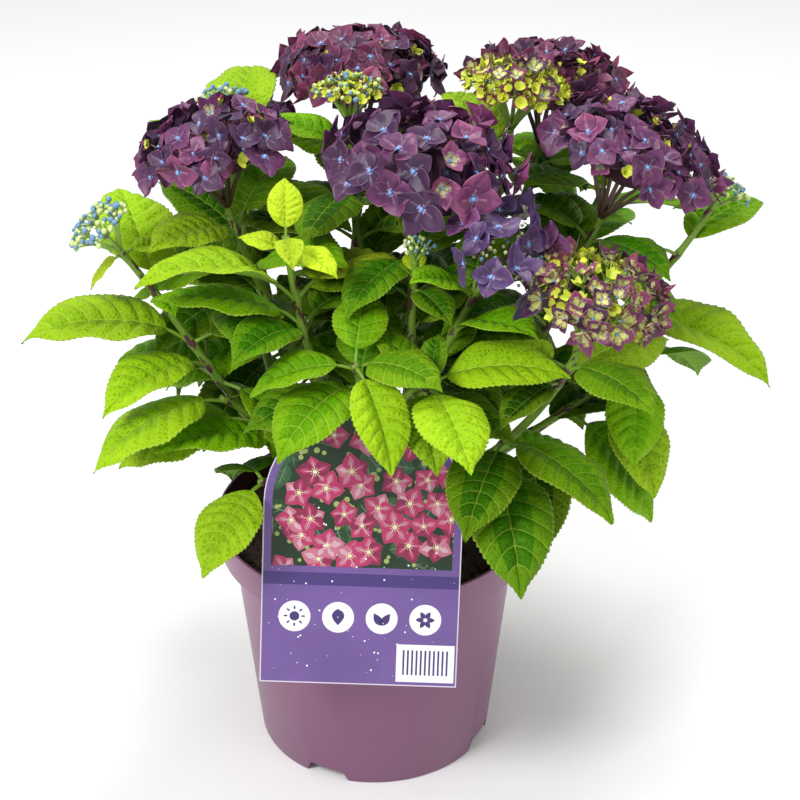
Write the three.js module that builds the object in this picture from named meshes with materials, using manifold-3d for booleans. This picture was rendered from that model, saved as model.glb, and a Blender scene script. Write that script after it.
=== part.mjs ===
// A flowering hydrangea in its plastic pot, with its card label.
// Millimetres, +Z up. The origin is the centre of the pot's flat underside and the front is -Y.
//
// The plant grows by one rule. Canes spring from a woody stool in two rings, each to one shoot of SHOOTS.
// A shoot carries opposite pairs of leaves and a flower head at its top. A leaf is turned a little until
// it is clear of what has already grown, and is left out where it can't be.
import * as THREE from "three";
import { mergeVertices } from "three/addons/utils/BufferGeometryUtils.js";
import Module from "manifold-3d";

const wasm = await Module();
wasm.setup();

// ---- Pot, soil and label ----
const POT_HEIGHT = 185;
const RIM_RADIUS = 115;
const RIM_ROUND = 0.5; // rounding of the lip's outer edge
const COLLAR_HEIGHT = 24;
const COLLAR_RADIUS = 113.3; // at the collar's lower edge
const WALL_TOP_RADIUS = 104; // just under the collar
const FOOT_RADIUS = 87;
const FOOT_CHAMFER = 1.5;
const POT_WALL = 1.8;
const POT_FLOOR = 3;
const POT_SEGMENTS = 38;
const NOTCH = { count: 4, angle: -114, width: 34, taper: 4, height: 9.5, depth: 12 };
const DRAIN = { count: 4, radius: 4.5, ring: 50, sides: 8 };
const FIT = 0.3; // clearance between touching pieces
const SLIVER = 0.02; // faces thinner than this are merged into their neighbours
const SOIL_LEVEL = 171;
const SOIL_SAG = 2; // how much lower the soil lies at the wall
const LABEL = { width: 136, height: 196, thick: 1.2, lean: 18, roll: -2, centreX: -8, below: 60 };
const TONGUE = { width: 30, inset: 6.6, thick: 1.4, drop: 12, lift: 1 };

// ---- Stool, canes and leaves ----
const STOOL = { flare: 36, waist: 30, dome: 30, centreZ: 184, segments: 18 };
const RINGS = [
  { polar: 24, canes: 8 },
  { polar: 56, canes: 14 },
];
const CANE_RADIUS = 4;
const SHOOT_RADIUS = 3.5; // where a cane ends and its leafy shoot begins
const TIP_RADIUS = 2.3;
const CANE_SHARE = 0.34; // part of a stem that is bare cane
const STEM_STEPS = 11;
const STEM_SIDES = 4;
const STEM_LEAVE = 0.8; // how strongly a stem keeps the directions it starts and ends with
const STEM_ARRIVE = 1.1;
const STEM_SLACK = 1.08; // a stem's length over the straight way from its foot to its tip
const SHOOT_GAP = FIT + 0.1; // along the curved stem, between a cane and its shoot
const HEAD_DROP = 0.72; // from a head's middle down to its fork, over its radius
const LEAF_THICK = 1.6;
const LEAF_SLIM = 0.33; // half width over length
const LEAF_OUTLINE = { base: 0.7, tip: 1.05, scale: 3.25 }; // scale * s^base * (1 - s)^tip, 1 at its widest
const LEAF_ARCH = 0.3; // how far the blade's edges arch back down, over its half width
const LEAF_STATIONS = [0.25, 0.62];
const LEAF_LENGTH = { least: 0.94, more: 0.12 }; // over the rule's length
const LEAF_SWING = 10; // degrees
const LEAF_DROOP = { least: 26, more: 26 };
const LEAF_FOLD = { least: 12, more: 20 };
const LEAF_ROLL = 24;
const PETIOLE_SHARE = 0.2;
const PETIOLE_RADIUS = 1.3;
const PETIOLE_RISE = 14; // steeper than the blade by this, in degrees
const CLEAR = 8; // wished distance between leaves
const LEAST_CLEAR = 3.5; // a leaf nearer than this is left out
const SECOND_TRY = 0.8; // length of a leaf that has no room at its full length
const CROWN = { x: 308, y: 285, top: 545, low: 150 };
const TURNS_TO_TRY = [
  [0, 0], [12, 0], [-12, 0], [0, 14], [0, -14], [24, 8], [-24, 8],
  [12, -22], [-12, -22], [36, 0], [-36, 0], [0, 28], [0, -36],
];
const HEAD_BALL = { rise: 0.12, radius: 0.82 }; // the space kept for a flower head, over its radius
// The rule for a shoot's pairs from the top down: how far below the shoot's top, size and rise in degrees.
const FLOWERING = {
  steps: [20, 50, 86, 122, 156], sizes: [0.75, 0.95, 1, 1, 0.9], rises: [40, 30, 20, 12, 4],
};
const LEAFY = {
  steps: [5, 26, 58, 94, 130], sizes: [0.4, 0.75, 0.95, 1, 0.92], rises: [60, 42, 28, 16, 6],
};

// Each shoot: the middle of its flower head, or its growing tip where it has none; the tilt of its top away
// from upright; the length of its largest leaves; its pairs of leaves from the top down. A leaf is its
// heading, or its heading, rise and size where these differ from the rule.
const SHOOTS = [
  { name: "front_middle", top: [-10, -103, 363], tilt: 42, leaf: 76, steps: [3, 8, 36, 66],
    pairs: [[[88, 40, 0.75], [-70, -24, 0.86]], [[-36, 24, 0.8], [187, 4, 0.82]], [[-130, 8, 1], 50],
      [-160, 20]] },
  { name: "front_right_low", top: [40, -106, 346], tilt: 76, leaf: 84, steps: [3, 10, 34, 66],
    pairs: [[[-106, 4, 0.95], 74], [[-8, 38, 0.98], 172], [[-78, 0, 0.75], 110], [-30, 150]] },
  { name: "front_left_young", top: [-55, -62, 436], tilt: 6, leaf: 92, steps: [2, 12, 50, 70, 78],
    pairs: [[[95, 66, 0.39], [-85, 10, 0.34]], [[-36, 22, 0.42], [165, 22, 0.34]],
      [[-158, 34, 1.05], [45, 30, 1.05]], [[-170, 26, 1], [10, 10, 0.8]], [[-122, 8, 0.72], 70]] },
  { name: "right_front", top: [144, -102, 408], tilt: 16, leaf: 88, head: { kind: "opening", radius: 42 },
    steps: [26, 38, 104, 120],
    pairs: [[[-48, 30, 0.8], [150, 20, 0.7]], [[35, 16, 0.95], [-150, 20, 0.6]],
      [[-44, 22, 0.98], [-94, -2, 0.96]], [[30, 0, 0.8], [-76, -8, 1.08]]] },
  { name: "left_bud", top: [-178, -30, 424], tilt: 34, leaf: 100, head: { kind: "buds", radius: 24 },
    steps: [4, 42, 84, 104, 120],
    pairs: [[[-178, 0, 0.32], [30, 40, 0.34]], [[120, 54, 0.98], [-60, 20, 0.3]],
      [[-166, 24, 1], [20, 10, 0.8]], [[-140, 14, 0.8], 60], [140, -40]] },
  { name: "right_bud", top: [243, 40, 421], tilt: 30, leaf: 80, head: { kind: "buds", radius: 19 },
    steps: [4, 40, 103, 118],
    pairs: [[[-60, 30, 0.35], [130, 40, 0.35]], [[38, 48, 1.1], [-150, 20, 0.8]], [[-28, 3, 1.27], 140],
      [10, 100]] },
  { name: "right", top: [174, 20, 453], tilt: 22, leaf: 88, head: { kind: "open", radius: 60 },
    pairs: [[[-32, 34, 0.72], [140, 20, 0.8]], [[-40, 8, 0.85], 100], [40, -140], [-20, 150]] },
  { name: "left", top: [-107, 8, 461], tilt: 14, leaf: 88, head: { kind: "open", radius: 50 },
    pairs: [[[-146, 42, 0.8], [66, 42, 0.9]], [[168, -5, 0.95], -50], [120, -80], [176, 0]] },
  { name: "centre", top: [32, -20, 461], tilt: 5, leaf: 84, head: { kind: "open", radius: 62 },
    pairs: [[[-125, 46, 0.8], 70], [-45, 150], [-160, 30], [-70, 110]] },
  { name: "front_bud", top: [30, -60, 425], tilt: 8, leaf: 76, head: { kind: "buds", radius: 11 },
    steps: [14, 24, 60, 94],
    pairs: [[[88, 60, 0.35], [-95, 30, 0.3]], [[-62, 24, 0.6], 170], [[68, 25, 0.8], -120], [-30, 140]] },
  { name: "front_violet", top: [86, -82, 431], tilt: 34, leaf: 80, head: { kind: "lace", radius: 36 },
    pairs: [[-150, 40], [-40, 140], [-100, 60], [0, 180]] },
  { name: "rear_right_young", top: [98, 50, 492], tilt: 6, leaf: 80, head: { kind: "opening", radius: 37 },
    pairs: [[[112, 56, 1.05], -50], [30, -150], [100, -80], [0, 180]] },
  { name: "rear_middle_young", top: [-15, 48, 488], tilt: 4, leaf: 80, head: { kind: "buds", radius: 24 },
    pairs: [[170, -10], [80, -100], [160, -20], [60, -110]] },
  { name: "rear", top: [-10, 128, 468], tilt: 8, leaf: 90, head: { kind: "open", radius: 58 },
    pairs: [[20, 160], [95, -80], [10, 170], [60, -120], [100, -80]] },
  { name: "rear_right", top: [128, 122, 464], tilt: 16, leaf: 90, head: { kind: "open", radius: 53 },
    pairs: [[0, 100], [60, -130], [-10, 120], [30, -150], [70, -130]] },
  { name: "rear_left_bud", top: [-104, 82, 470], tilt: 12, leaf: 84, head: { kind: "buds", radius: 19 },
    pairs: [[[80, 42, 1.08], [-60, 30, 0.5]], [[145, 38, 0.95], -40], [[150, 36, 0.9], 20], [110, -100],
      [150, -20]] },
  { name: "back_left", top: [-108, 180, 392], tilt: 30, leaf: 92, head: { kind: "open", radius: 50 },
    pairs: [[180, 60], [120, -60], [170, 20], [110, -110], [150, 40]] },
  { name: "back_right", top: [48, 200, 384], tilt: 30, leaf: 92, head: { kind: "open", radius: 50 },
    pairs: [[20, 150], [90, -100], [10, 170], [60, 130], [0, 180]] },
  { name: "back_right_low", top: [172, 150, 372], tilt: 46, leaf: 92,
    pairs: [[60, -120], [-10, 140], [50, -100], [0, 110], [40, -60]] },
  { name: "left_low", top: [-104, -46, 306], tilt: 54, leaf: 98, steps: [6, 34, 60],
    pairs: [[[-146, 6, 0.92], [60, 10, 0.8]], [[-175, 0, 0.9], 120], [-110, 60]] },
  { name: "front_left_low", top: [-76, -84, 262], tilt: 56, leaf: 84, steps: [4, 34, 58],
    pairs: [[[-121, -12, 0.84], [100, 10, 0.8]], [[-90, 10, 0.6], 120], [[160, 24, 0.7], 30]] },
  { name: "right_low", top: [190, 0, 312], tilt: 50, leaf: 92, steps: [6, 34, 64, 92],
    pairs: [[[-80, -10, 0.75], [60, 10, 0.9]], [[-50, -2, 0.85], 130], [[-36, -14, 1], 150],
      [[-76, -24, 0.9], 60]] },
];

const COLOURS = {
  pot: 0x886480, soil: 0x2a1d17, label: 0x6a4b94, wood: 0x5a4030, cane: 0x6a7a2c,
  leaf: 0x4f9018, open: 0x6a3a5e, opening: 0xb9b84a, lace: 0x5a4488,
};

const rad = THREE.MathUtils.degToRad;

// ---- Solids ----

function solidOf(geometry) {
  const plain = geometry.clone();
  plain.deleteAttribute("normal");
  plain.deleteAttribute("uv");
  const merged = mergeVertices(plain, 1e-4);
  const triVerts = new Uint32Array(merged.index.array);
  const make = () => new wasm.Manifold(
    new wasm.Mesh({ numProp: 3, vertProperties: merged.attributes.position.array, triVerts }));
  const solid = make();
  if (solid.volume() > 0) return solid;
  for (let i = 0; i < triVerts.length; i += 3) {
    [triVerts[i + 1], triVerts[i + 2]] = [triVerts[i + 2], triVerts[i + 1]];
  }
  return make();
}

function geometryOf(solid) {
  const { vertProperties, triVerts } = solid.getMesh();
  const geometry = new THREE.BufferGeometry();
  geometry.setAttribute("position", new THREE.BufferAttribute(new Float32Array(vertProperties), 3));
  geometry.setIndex(new THREE.BufferAttribute(new Uint32Array(triVerts), 1));
  return geometry;
}

// A closed skin over rings of points that all have the same count; a ring of one point is a sharp end.
function loft(rings) {
  const count = Math.max(...rings.map((ring) => ring.length));
  const starts = [];
  const position = [];
  const index = [];
  for (const ring of rings) {
    starts.push(position.length / 3);
    for (const p of ring) position.push(p.x, p.y, p.z);
  }
  const at = (r, i) => starts[r] + (rings[r].length === 1 ? 0 : i % count);
  for (let r = 0; r + 1 < rings.length; r++) {
    for (let i = 0; i < count; i++) {
      if (rings[r].length > 1) index.push(at(r, i), at(r, i + 1), at(r + 1, i));
      if (rings[r + 1].length > 1) index.push(at(r, i + 1), at(r + 1, i + 1), at(r + 1, i));
    }
  }
  for (const [r, sign] of [[0, -1], [rings.length - 1, 1]]) {
    for (let i = 1; rings[r].length > 1 && i + 1 < count; i++) {
      index.push(at(r, 0), at(r, sign > 0 ? i : i + 1), at(r, sign > 0 ? i + 1 : i));
    }
  }
  const geometry = new THREE.BufferGeometry();
  geometry.setAttribute("position", new THREE.Float32BufferAttribute(position, 3));
  geometry.setIndex(index);
  return solidOf(geometry);
}

function squareTo(axis) { // the world axis furthest from an axis
  const away = [Math.abs(axis.x), Math.abs(axis.y), Math.abs(axis.z)];
  return new THREE.Vector3().setComponent(away.indexOf(Math.min(...away)), 1);
}

// A round ring of points about a centre, square to an axis. Its first point lies square to aside.
function ringOf(centre, axis, radius, sides, aside = squareTo(axis)) {
  const side = new THREE.Vector3().crossVectors(axis, aside).normalize();
  const other = new THREE.Vector3().crossVectors(axis, side);
  return Array.from({ length: sides }, (_, i) => {
    const a = (2 * Math.PI * i) / sides;
    return centre.clone().addScaledVector(side, radius * Math.cos(a))
      .addScaledVector(other, radius * Math.sin(a));
  });
}

function limb(points, radii, sides) {
  const aside = squareTo(points.at(-1).clone().sub(points[0]));
  return loft(points.map((p, i) => {
    const next = points[Math.min(i + 1, points.length - 1)];
    const axis = next.clone().sub(points[Math.max(i - 1, 0)]).normalize();
    return ringOf(p, axis, radii[i], sides, aside);
  }));
}

function lathe(profile, segments) {
  const geometry = new THREE.LatheGeometry(profile.map(([r, z]) => new THREE.Vector2(r, z)), segments);
  return solidOf(geometry.rotateX(Math.PI / 2));
}

function overlaps(a, b) {
  const ba = a.boundingBox();
  const bb = b.boundingBox();
  for (let k = 0; k < 3; k++) if (ba.min[k] > bb.max[k] || bb.min[k] > ba.max[k]) return false;
  return a.intersect(b).volume() > 0;
}

const solids = new Map(); // every node's solid so far, by name

function wholePiece(solid) { // without the scraps, sealed hollows and sliver faces that fusing leaves
  const largest = solid.decompose().reduce((most, piece) => (piece.volume() > most.volume() ? piece : most));
  return largest.simplify(SLIVER);
}

function blocked(solid, own) { // true where a piece would meet another node
  for (const [name, other] of solids) {
    if (name !== own && overlaps(solid, other)) return true;
  }
  return false;
}

// ---- Pot ----

function innerRadius(z) { // radius of the pot's inside at height z
  const step = POT_HEIGHT - COLLAR_HEIGHT;
  if (z > step) {
    return THREE.MathUtils.mapLinear(z, step, POT_HEIGHT, COLLAR_RADIUS, RIM_RADIUS) - POT_WALL;
  }
  return THREE.MathUtils.mapLinear(z, 0, step, FOOT_RADIUS, WALL_TOP_RADIUS) - POT_WALL;
}

function cavity(gap, floor, top) { // the inside of the pot, kept gap clear of its walls
  const step = POT_HEIGHT - COLLAR_HEIGHT;
  return lathe([
    [0, floor], [innerRadius(floor) - gap, floor], [innerRadius(step) - gap, step + POT_WALL + gap],
    [innerRadius(step + POT_WALL + 1) - gap, step + POT_WALL + 1 + gap], ...top, [0, top.at(-1)[1]],
  ], POT_SEGMENTS);
}

function notches(grow) { // slots in the foot's edge, with slanting ends
  const half = NOTCH.width / 2 + grow;
  const shape = new THREE.Shape([
    new THREE.Vector2(-half, -5), new THREE.Vector2(half, -5), new THREE.Vector2(half, 0),
    new THREE.Vector2(half - NOTCH.taper, NOTCH.height + grow),
    new THREE.Vector2(-half + NOTCH.taper, NOTCH.height + grow), new THREE.Vector2(-half, 0),
  ]);
  const depth = NOTCH.depth + grow + 10;
  let all = null;
  for (let i = 0; i < NOTCH.count; i++) {
    const slot = new THREE.ExtrudeGeometry(shape, { depth, bevelEnabled: false });
    slot.rotateX(Math.PI / 2).rotateZ(Math.PI / 2).translate(FOOT_RADIUS + 10 - depth, 0, 0);
    slot.rotateZ(rad(NOTCH.angle + (i * 360) / NOTCH.count));
    const solid = solidOf(slot);
    all = all ? all.add(solid) : solid;
  }
  return all;
}

function makePot() {
  const step = POT_HEIGHT - COLLAR_HEIGHT;
  let pot = lathe([
    [0, 0], [FOOT_RADIUS - FOOT_CHAMFER, 0], [FOOT_RADIUS, FOOT_CHAMFER], [WALL_TOP_RADIUS, step - 0.5],
    [COLLAR_RADIUS - 0.6, step], [COLLAR_RADIUS, step + 0.6], [RIM_RADIUS, POT_HEIGHT - 2 * RIM_ROUND],
    [RIM_RADIUS - RIM_ROUND, POT_HEIGHT], [0, POT_HEIGHT],
  ], POT_SEGMENTS);
  const above = [[innerRadius(POT_HEIGHT), POT_HEIGHT], [innerRadius(POT_HEIGHT), POT_HEIGHT + 5]];
  pot = pot.subtract(cavity(0, POT_FLOOR, above).subtract(notches(POT_WALL))).subtract(notches(0));
  for (let i = 0; i < DRAIN.count; i++) {
    const hole = new THREE.CylinderGeometry(DRAIN.radius, DRAIN.radius, 3 * POT_FLOOR, DRAIN.sides);
    hole.rotateX(Math.PI / 2).translate(DRAIN.ring, 0, 0).rotateZ((2 * Math.PI * i) / DRAIN.count);
    pot = pot.subtract(solidOf(hole));
  }
  return pot;
}

function makeSoil() {
  const edge = [innerRadius(SOIL_LEVEL - SOIL_SAG) - FIT, SOIL_LEVEL - SOIL_SAG];
  const heap = [edge, [0.45 * RIM_RADIUS, SOIL_LEVEL]];
  return cavity(FIT, POT_FLOOR + FIT, heap).subtract(notches(POT_WALL + FIT));
}

// ---- Label: an arched card that leans on the rim, with a tongue hooked over it ----

function makeLabel() {
  const { width, height, thick, lean, roll, centreX, below } = LABEL;
  const half = width / 2;
  const arched = new THREE.Shape();
  arched.moveTo(-half, 0).lineTo(half, 0).lineTo(half, height - half);
  arched.absarc(0, height - half, half, 0, Math.PI, false);
  arched.lineTo(-half, 0);
  const card = new THREE.ExtrudeGeometry(arched, { depth: thick, bevelEnabled: false, curveSegments: 14 });
  card.translate(0, -below, 0).rotateZ(rad(roll)).rotateX(rad(90 - lean));
  const rimFront = -RIM_RADIUS - FIT / Math.cos(rad(lean));
  card.translate(centreX, rimFront, POT_HEIGHT);
  const inside = -innerRadius(POT_HEIGHT) + TONGUE.inset;
  const low = POT_HEIGHT + TONGUE.lift;
  const outline = [
    [rimFront + 0.9, low + 4], [inside, low + TONGUE.thick], [inside, POT_HEIGHT - TONGUE.drop],
    [inside - TONGUE.thick, POT_HEIGHT - TONGUE.drop], [inside - TONGUE.thick, low], [rimFront - 0.3, low],
  ];
  const hooked = new THREE.Shape(outline.map(([y, z]) => new THREE.Vector2(y, z)));
  const tongue = new THREE.ExtrudeGeometry(hooked, { depth: TONGUE.width, bevelEnabled: false });
  tongue.rotateX(Math.PI / 2).rotateZ(Math.PI / 2).translate(centreX - TONGUE.width / 2, 0, 0);
  return solidOf(card).add(solidOf(tongue));
}

// ---- Stems ----

function makeStool() { // the short woody stem, cut flat at the soil
  const { flare, waist, dome, centreZ, segments } = STOOL;
  const foot = SOIL_LEVEL + FIT;
  const profile = [[0, foot], [flare, foot], [waist + 1.5, foot + 4], [waist, centreZ]];
  for (let polar = 72; polar > 0; polar -= 18) {
    profile.push([dome * Math.sin(rad(polar)), centreZ + dome * Math.cos(rad(polar))]);
  }
  return lathe([...profile, [0, centreZ + dome]], segments);
}

const headingOf = (shoot) => Math.atan2(shoot.top[1], shoot.top[0]);

function axisOf(shoot) { // direction of the shoot's top, tilted away from the plant's middle
  const a = headingOf(shoot);
  const t = rad(shoot.tilt);
  return new THREE.Vector3(Math.sin(t) * Math.cos(a), Math.sin(t) * Math.sin(a), Math.cos(t));
}

// The shoots nearest the middle spring from the inner ring, the others from the outer ring, in the order of
// their headings.
function placeOnStool(shoots) {
  const reach = (s) => Math.hypot(s.top[0], s.top[1]);
  const byReach = [...shoots].sort((a, b) => reach(a) - reach(b));
  let first = 0;
  for (const { polar, canes } of RINGS) {
    const ring = byReach.slice(first, first + canes).sort((a, b) => headingOf(a) - headingOf(b));
    first += canes;
    const pitch = (2 * Math.PI) / canes;
    const swing = ring.reduce((sum, s, i) => sum + headingOf(s) - i * pitch, 0) / canes;
    ring.forEach((s, i) => {
      const a = swing + i * pitch;
      s.normal = new THREE.Vector3(
        Math.sin(rad(polar)) * Math.cos(a), Math.sin(rad(polar)) * Math.sin(a), Math.cos(rad(polar)));
      s.foot = new THREE.Vector3(0, 0, STOOL.centreZ).addScaledVector(s.normal, STOOL.dome + FIT);
    });
  }
}

// A stem's line: it leaves the stool square to its surface and ends along the axis of the shoot's top.
function stemPoint(shoot, t) {
  const span = shoot.foot.distanceTo(shoot.tip);
  const h1 = t * t * (3 - 2 * t);
  const h2 = t * (1 - t) * (1 - t);
  const h3 = t * t * (t - 1);
  return shoot.foot.clone().multiplyScalar(1 - h1).addScaledVector(shoot.tip, h1)
    .addScaledVector(shoot.normal, h2 * span * STEM_LEAVE)
    .addScaledVector(axisOf(shoot), h3 * span * STEM_ARRIVE);
}

function stretch(shoot, from, to, r0, r1) { // one tapering length of the stem
  const steps = Math.max(3, Math.round((to - from) * STEM_STEPS));
  const points = [];
  const radii = [];
  for (let i = 0; i <= steps; i++) {
    points.push(stemPoint(shoot, from + ((to - from) * i) / steps));
    radii.push(r0 + ((r1 - r0) * i) / steps);
  }
  return limb(points, radii, STEM_SIDES);
}

// ---- Leaves ----

// A point of a leaf: s runs from its base to its tip, w from edge to edge (-1 to 1). The midrib bends down in
// an arc, the halves fold up from it and their edges arch back down.
function leafPoint(leaf, s, w, lift = 0, grow = 0) {
  const turn = leaf.droop / leaf.length;
  const bend = leaf.rise - leaf.droop * s;
  const along = (Math.sin(leaf.rise) - Math.sin(bend)) / turn;
  const high = (Math.cos(bend) - Math.cos(leaf.rise)) / turn;
  const c = Math.cos(leaf.heading);
  const n = Math.sin(leaf.heading);
  const { base, tip, scale } = LEAF_OUTLINE;
  const half = leaf.length * LEAF_SLIM * scale * s ** base * (1 - s) ** tip + grow;
  const out = half * w * Math.cos(leaf.fold);
  const rise = half * Math.abs(w) * Math.sin(leaf.fold) - LEAF_ARCH * half * w * w + lift;
  const across = out * Math.cos(leaf.roll) - rise * Math.sin(leaf.roll);
  const normal = out * Math.sin(leaf.roll) + rise * Math.cos(leaf.roll);
  const flat = along - normal * Math.sin(bend);
  return new THREE.Vector3(flat * c - across * n, flat * n + across * c, high + normal * Math.cos(bend))
    .add(leaf.base);
}

function leafSolid(leaf, grow = 0) {
  const thick = LEAF_THICK / 2 + grow;
  const stalk = PETIOLE_RADIUS + grow;
  const reach = leaf.base.clone().sub(leaf.root).normalize();
  const start = leaf.root.clone().lerp(leaf.base, grow ? 0.4 : 0);
  const rings = [
    ringOf(start, reach, stalk, 4),
    ringOf(leaf.base.clone().addScaledVector(reach, 1), reach, stalk, 4),
  ];
  // The stalk's ring is turned so that its corners lie under the blade's edges, rib and back.
  const side = leafPoint(leaf, 0.3, 1).sub(leafPoint(leaf, 0.3, -1)).normalize();
  const top = new THREE.Vector3().crossVectors(reach, side).normalize();
  for (const ring of rings) {
    const centre = ring.reduce((sum, p) => sum.add(p), new THREE.Vector3()).divideScalar(4);
    [side, top, side, top].forEach((d, i) => ring[i].copy(centre).addScaledVector(d, i < 2 ? stalk : -stalk));
  }
  for (const s of LEAF_STATIONS) {
    rings.push([
      leafPoint(leaf, s, 1, 0, grow), leafPoint(leaf, s, 0, thick), leafPoint(leaf, s, -1, 0, grow),
      leafPoint(leaf, s, 0, -thick),
    ]);
  }
  rings.push([leafPoint(leaf, 1, 0)]);
  return loft(rings);
}

function samples(leaf) {
  const points = [];
  for (let i = 1; i <= 7; i++) {
    for (let j = -2; j <= 2; j++) points.push(leafPoint(leaf, i / 7, j / 2));
  }
  return points;
}

// How far a leaf's points are from what has grown so far; negative where it would leave the crown.
function clearance(points, grown) {
  let least = Infinity;
  for (const p of points) {
    const out = (p.x / CROWN.x) ** 2 + (p.y / CROWN.y) ** 2;
    if (out > 1 || p.z > CROWN.top || p.z < CROWN.low) return -1;
    least = Math.min(least, distanceToPot(p), distanceToCard(p));
    for (const ball of grown.balls) least = Math.min(least, p.distanceTo(ball.centre) - ball.radius);
    for (const q of grown.points) least = Math.min(least, p.distanceTo(q));
  }
  return least;
}

function distanceToPot(p) {
  const r = Math.hypot(p.x, p.y);
  if (p.z > POT_HEIGHT) return Math.hypot(r - RIM_RADIUS, p.z - POT_HEIGHT);
  return r > RIM_RADIUS - 5 ? r - RIM_RADIUS : Math.min(RIM_RADIUS - 5 - r, p.z - SOIL_LEVEL);
}

function distanceToCard(p) {
  const lean = rad(LABEL.lean);
  const up = (p.z - POT_HEIGHT) * Math.cos(lean) + (p.y + RIM_RADIUS) * Math.sin(lean);
  const off = (p.y + RIM_RADIUS) * Math.cos(lean) - (p.z - POT_HEIGHT) * Math.sin(lean);
  const high = up + LABEL.below - LABEL.height + LABEL.width / 2;
  const beyond = Math.hypot(p.x - LABEL.centreX, Math.max(high, 0)) - LABEL.width / 2;
  return Math.hypot(Math.max(beyond, 0), off);
}

// A small sequence of seeded numbers from 0 to 1.
function seeded(seed) {
  let state = seed;
  return () => {
    state = (state * 16807) % 2147483647;
    return state / 2147483647;
  };
}

function leafOf(shoot, pair, heading, rise, length, [jitter, bend, tip, crease]) {
  const root = stemPoint(shoot, shoot.places[pair]);
  const a = rad(heading + LEAF_SWING * (jitter - 0.5));
  const steep = rad(rise + PETIOLE_RISE);
  const stalk = length * PETIOLE_SHARE;
  const level = Math.cos(steep);
  const way = new THREE.Vector3(level * Math.cos(a), level * Math.sin(a), Math.sin(steep));
  return {
    root, length, heading: a, rise: rad(rise), base: root.clone().addScaledVector(way, stalk),
    droop: rad(LEAF_DROOP.least + LEAF_DROOP.more * bend),
    fold: rad(LEAF_FOLD.least + LEAF_FOLD.more * crease), roll: rad(LEAF_ROLL * (tip - 0.5)),
  };
}

// The first turn of the leaf that is well clear of all else, or else the clearest one.
function growLeaf(shoot, pair, heading, rise, size, draws, grown) {
  const length = shoot.leaf * size * (LEAF_LENGTH.least + LEAF_LENGTH.more * draws[1]);
  for (const shrink of [1, SECOND_TRY]) {
    let best = null;
    for (const [swing, dip] of TURNS_TO_TRY) {
      const leaf = leafOf(shoot, pair, heading + swing, rise + dip, length * shrink, draws);
      const room = clearance(samples(leaf), grown);
      if (room < LEAST_CLEAR || (best && room <= best.room)) continue;
      if (blocked(leafSolid(leaf, FIT + 0.05), "foliage_" + shoot.name)) continue;
      best = { leaf, room };
      if (room >= CLEAR) break;
    }
    if (best) return best.leaf;
  }
  return null;
}

function growLeaves(shoot, grown, order) {
  const draw = seeded(7919 * (order + 1));
  const rule = shoot.head ? FLOWERING : LEAFY;
  const name = "foliage_" + shoot.name;
  shoot.pairs.forEach((pair, i) => {
    for (const entry of pair) {
      const draws = [draw(), draw(), draw(), draw()];
      const [heading, rise, size] = Array.isArray(entry) ? entry : [entry, rule.rises[i], rule.sizes[i]];
      const leaf = growLeaf(shoot, i, heading, rise, size, draws, grown);
      if (!leaf) continue;
      grown.points.push(...samples(leaf));
      solids.set(name, solids.get(name).add(leafSolid(leaf)));
    }
  });
}

// ---- Flower heads ----

const GOLDEN = Math.PI * (3 - Math.sqrt(5));
const FLORET_SET = 0.12; // how far a floret's sepals lie behind its middle, over its size
const FLORET_TURN = 2.4; // radians from one floret to the next
const CORE_HEIGHT = 0.62; // of the dome
const CORE_DROP = 0.12; // of the head's radius
const ROOT_DEPTH = 0.74; // how far out in the core the florets are rooted
const RAY = { reach: 0.48, turn: 0.4, root: 1.5, tip: 1.2 }; // the branches under a head
const HEADS = {
  open: { florets: 15, size: 0.3, dome: 0.64, core: 0.7, spread: 95, rays: 4 },
  opening: { florets: 11, size: 0.26, dome: 0.52, core: 0.66, spread: 82, rays: 4 },
  lace: { florets: 9, size: 0.38, dome: 0.5, core: 0.62, spread: 84, rays: 4 },
  buds: { florets: 5, size: 0.26, dome: 0.6, core: 0.7, spread: 70, rays: 0 },
};

// Places on a dome about the head's axis, evenly spread along a spiral.
function domePlaces(head, axis, centre) {
  const { florets, dome, spread } = HEADS[head.kind];
  const side = new THREE.Vector3(1, 0, 0).addScaledVector(axis, -axis.x).normalize();
  const other = new THREE.Vector3().crossVectors(axis, side);
  const low = 1 - Math.cos(rad(spread));
  return Array.from({ length: florets }, (_, i) => {
    const up = 1 - (low * (i + 0.5)) / florets;
    const round = Math.sqrt(1 - up * up);
    const a = i * GOLDEN;
    const facing = side.clone().multiplyScalar(round * Math.cos(a))
      .addScaledVector(other, round * Math.sin(a)).addScaledVector(axis, up);
    const place = centre.clone().addScaledVector(facing, head.radius)
      .addScaledVector(axis, (dome - 1) * up * head.radius);
    return { place, facing, turn: i * FLORET_TURN };
  });
}

// A floret whose corners are the ends of its four sepals, pointed behind where it stands on the head's core.
function floretSolid({ place, facing, turn }, size, root) {
  const seat = place.clone().addScaledVector(facing, -FLORET_SET * size);
  const ring = ringOf(seat, facing, size, 4);
  for (const p of ring) p.sub(seat).applyAxisAngle(facing, turn).add(seat);
  return loft([[root], ring, [place]]);
}

function coreSizes({ kind, radius }) { // half width and half height of a head's core
  return [HEADS[kind].core * radius, CORE_HEIGHT * HEADS[kind].dome * radius];
}

// The point well inside the head's core on the way from its middle to a floret's place.
function insideCore(head, axis, middle, place) {
  const [wide, high] = coreSizes(head);
  const way = place.clone().sub(middle).normalize();
  const up = way.dot(axis);
  const reach = ROOT_DEPTH / Math.sqrt((1 - up * up) / wide ** 2 + (up / high) ** 2);
  return middle.clone().addScaledVector(way, reach);
}

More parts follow.
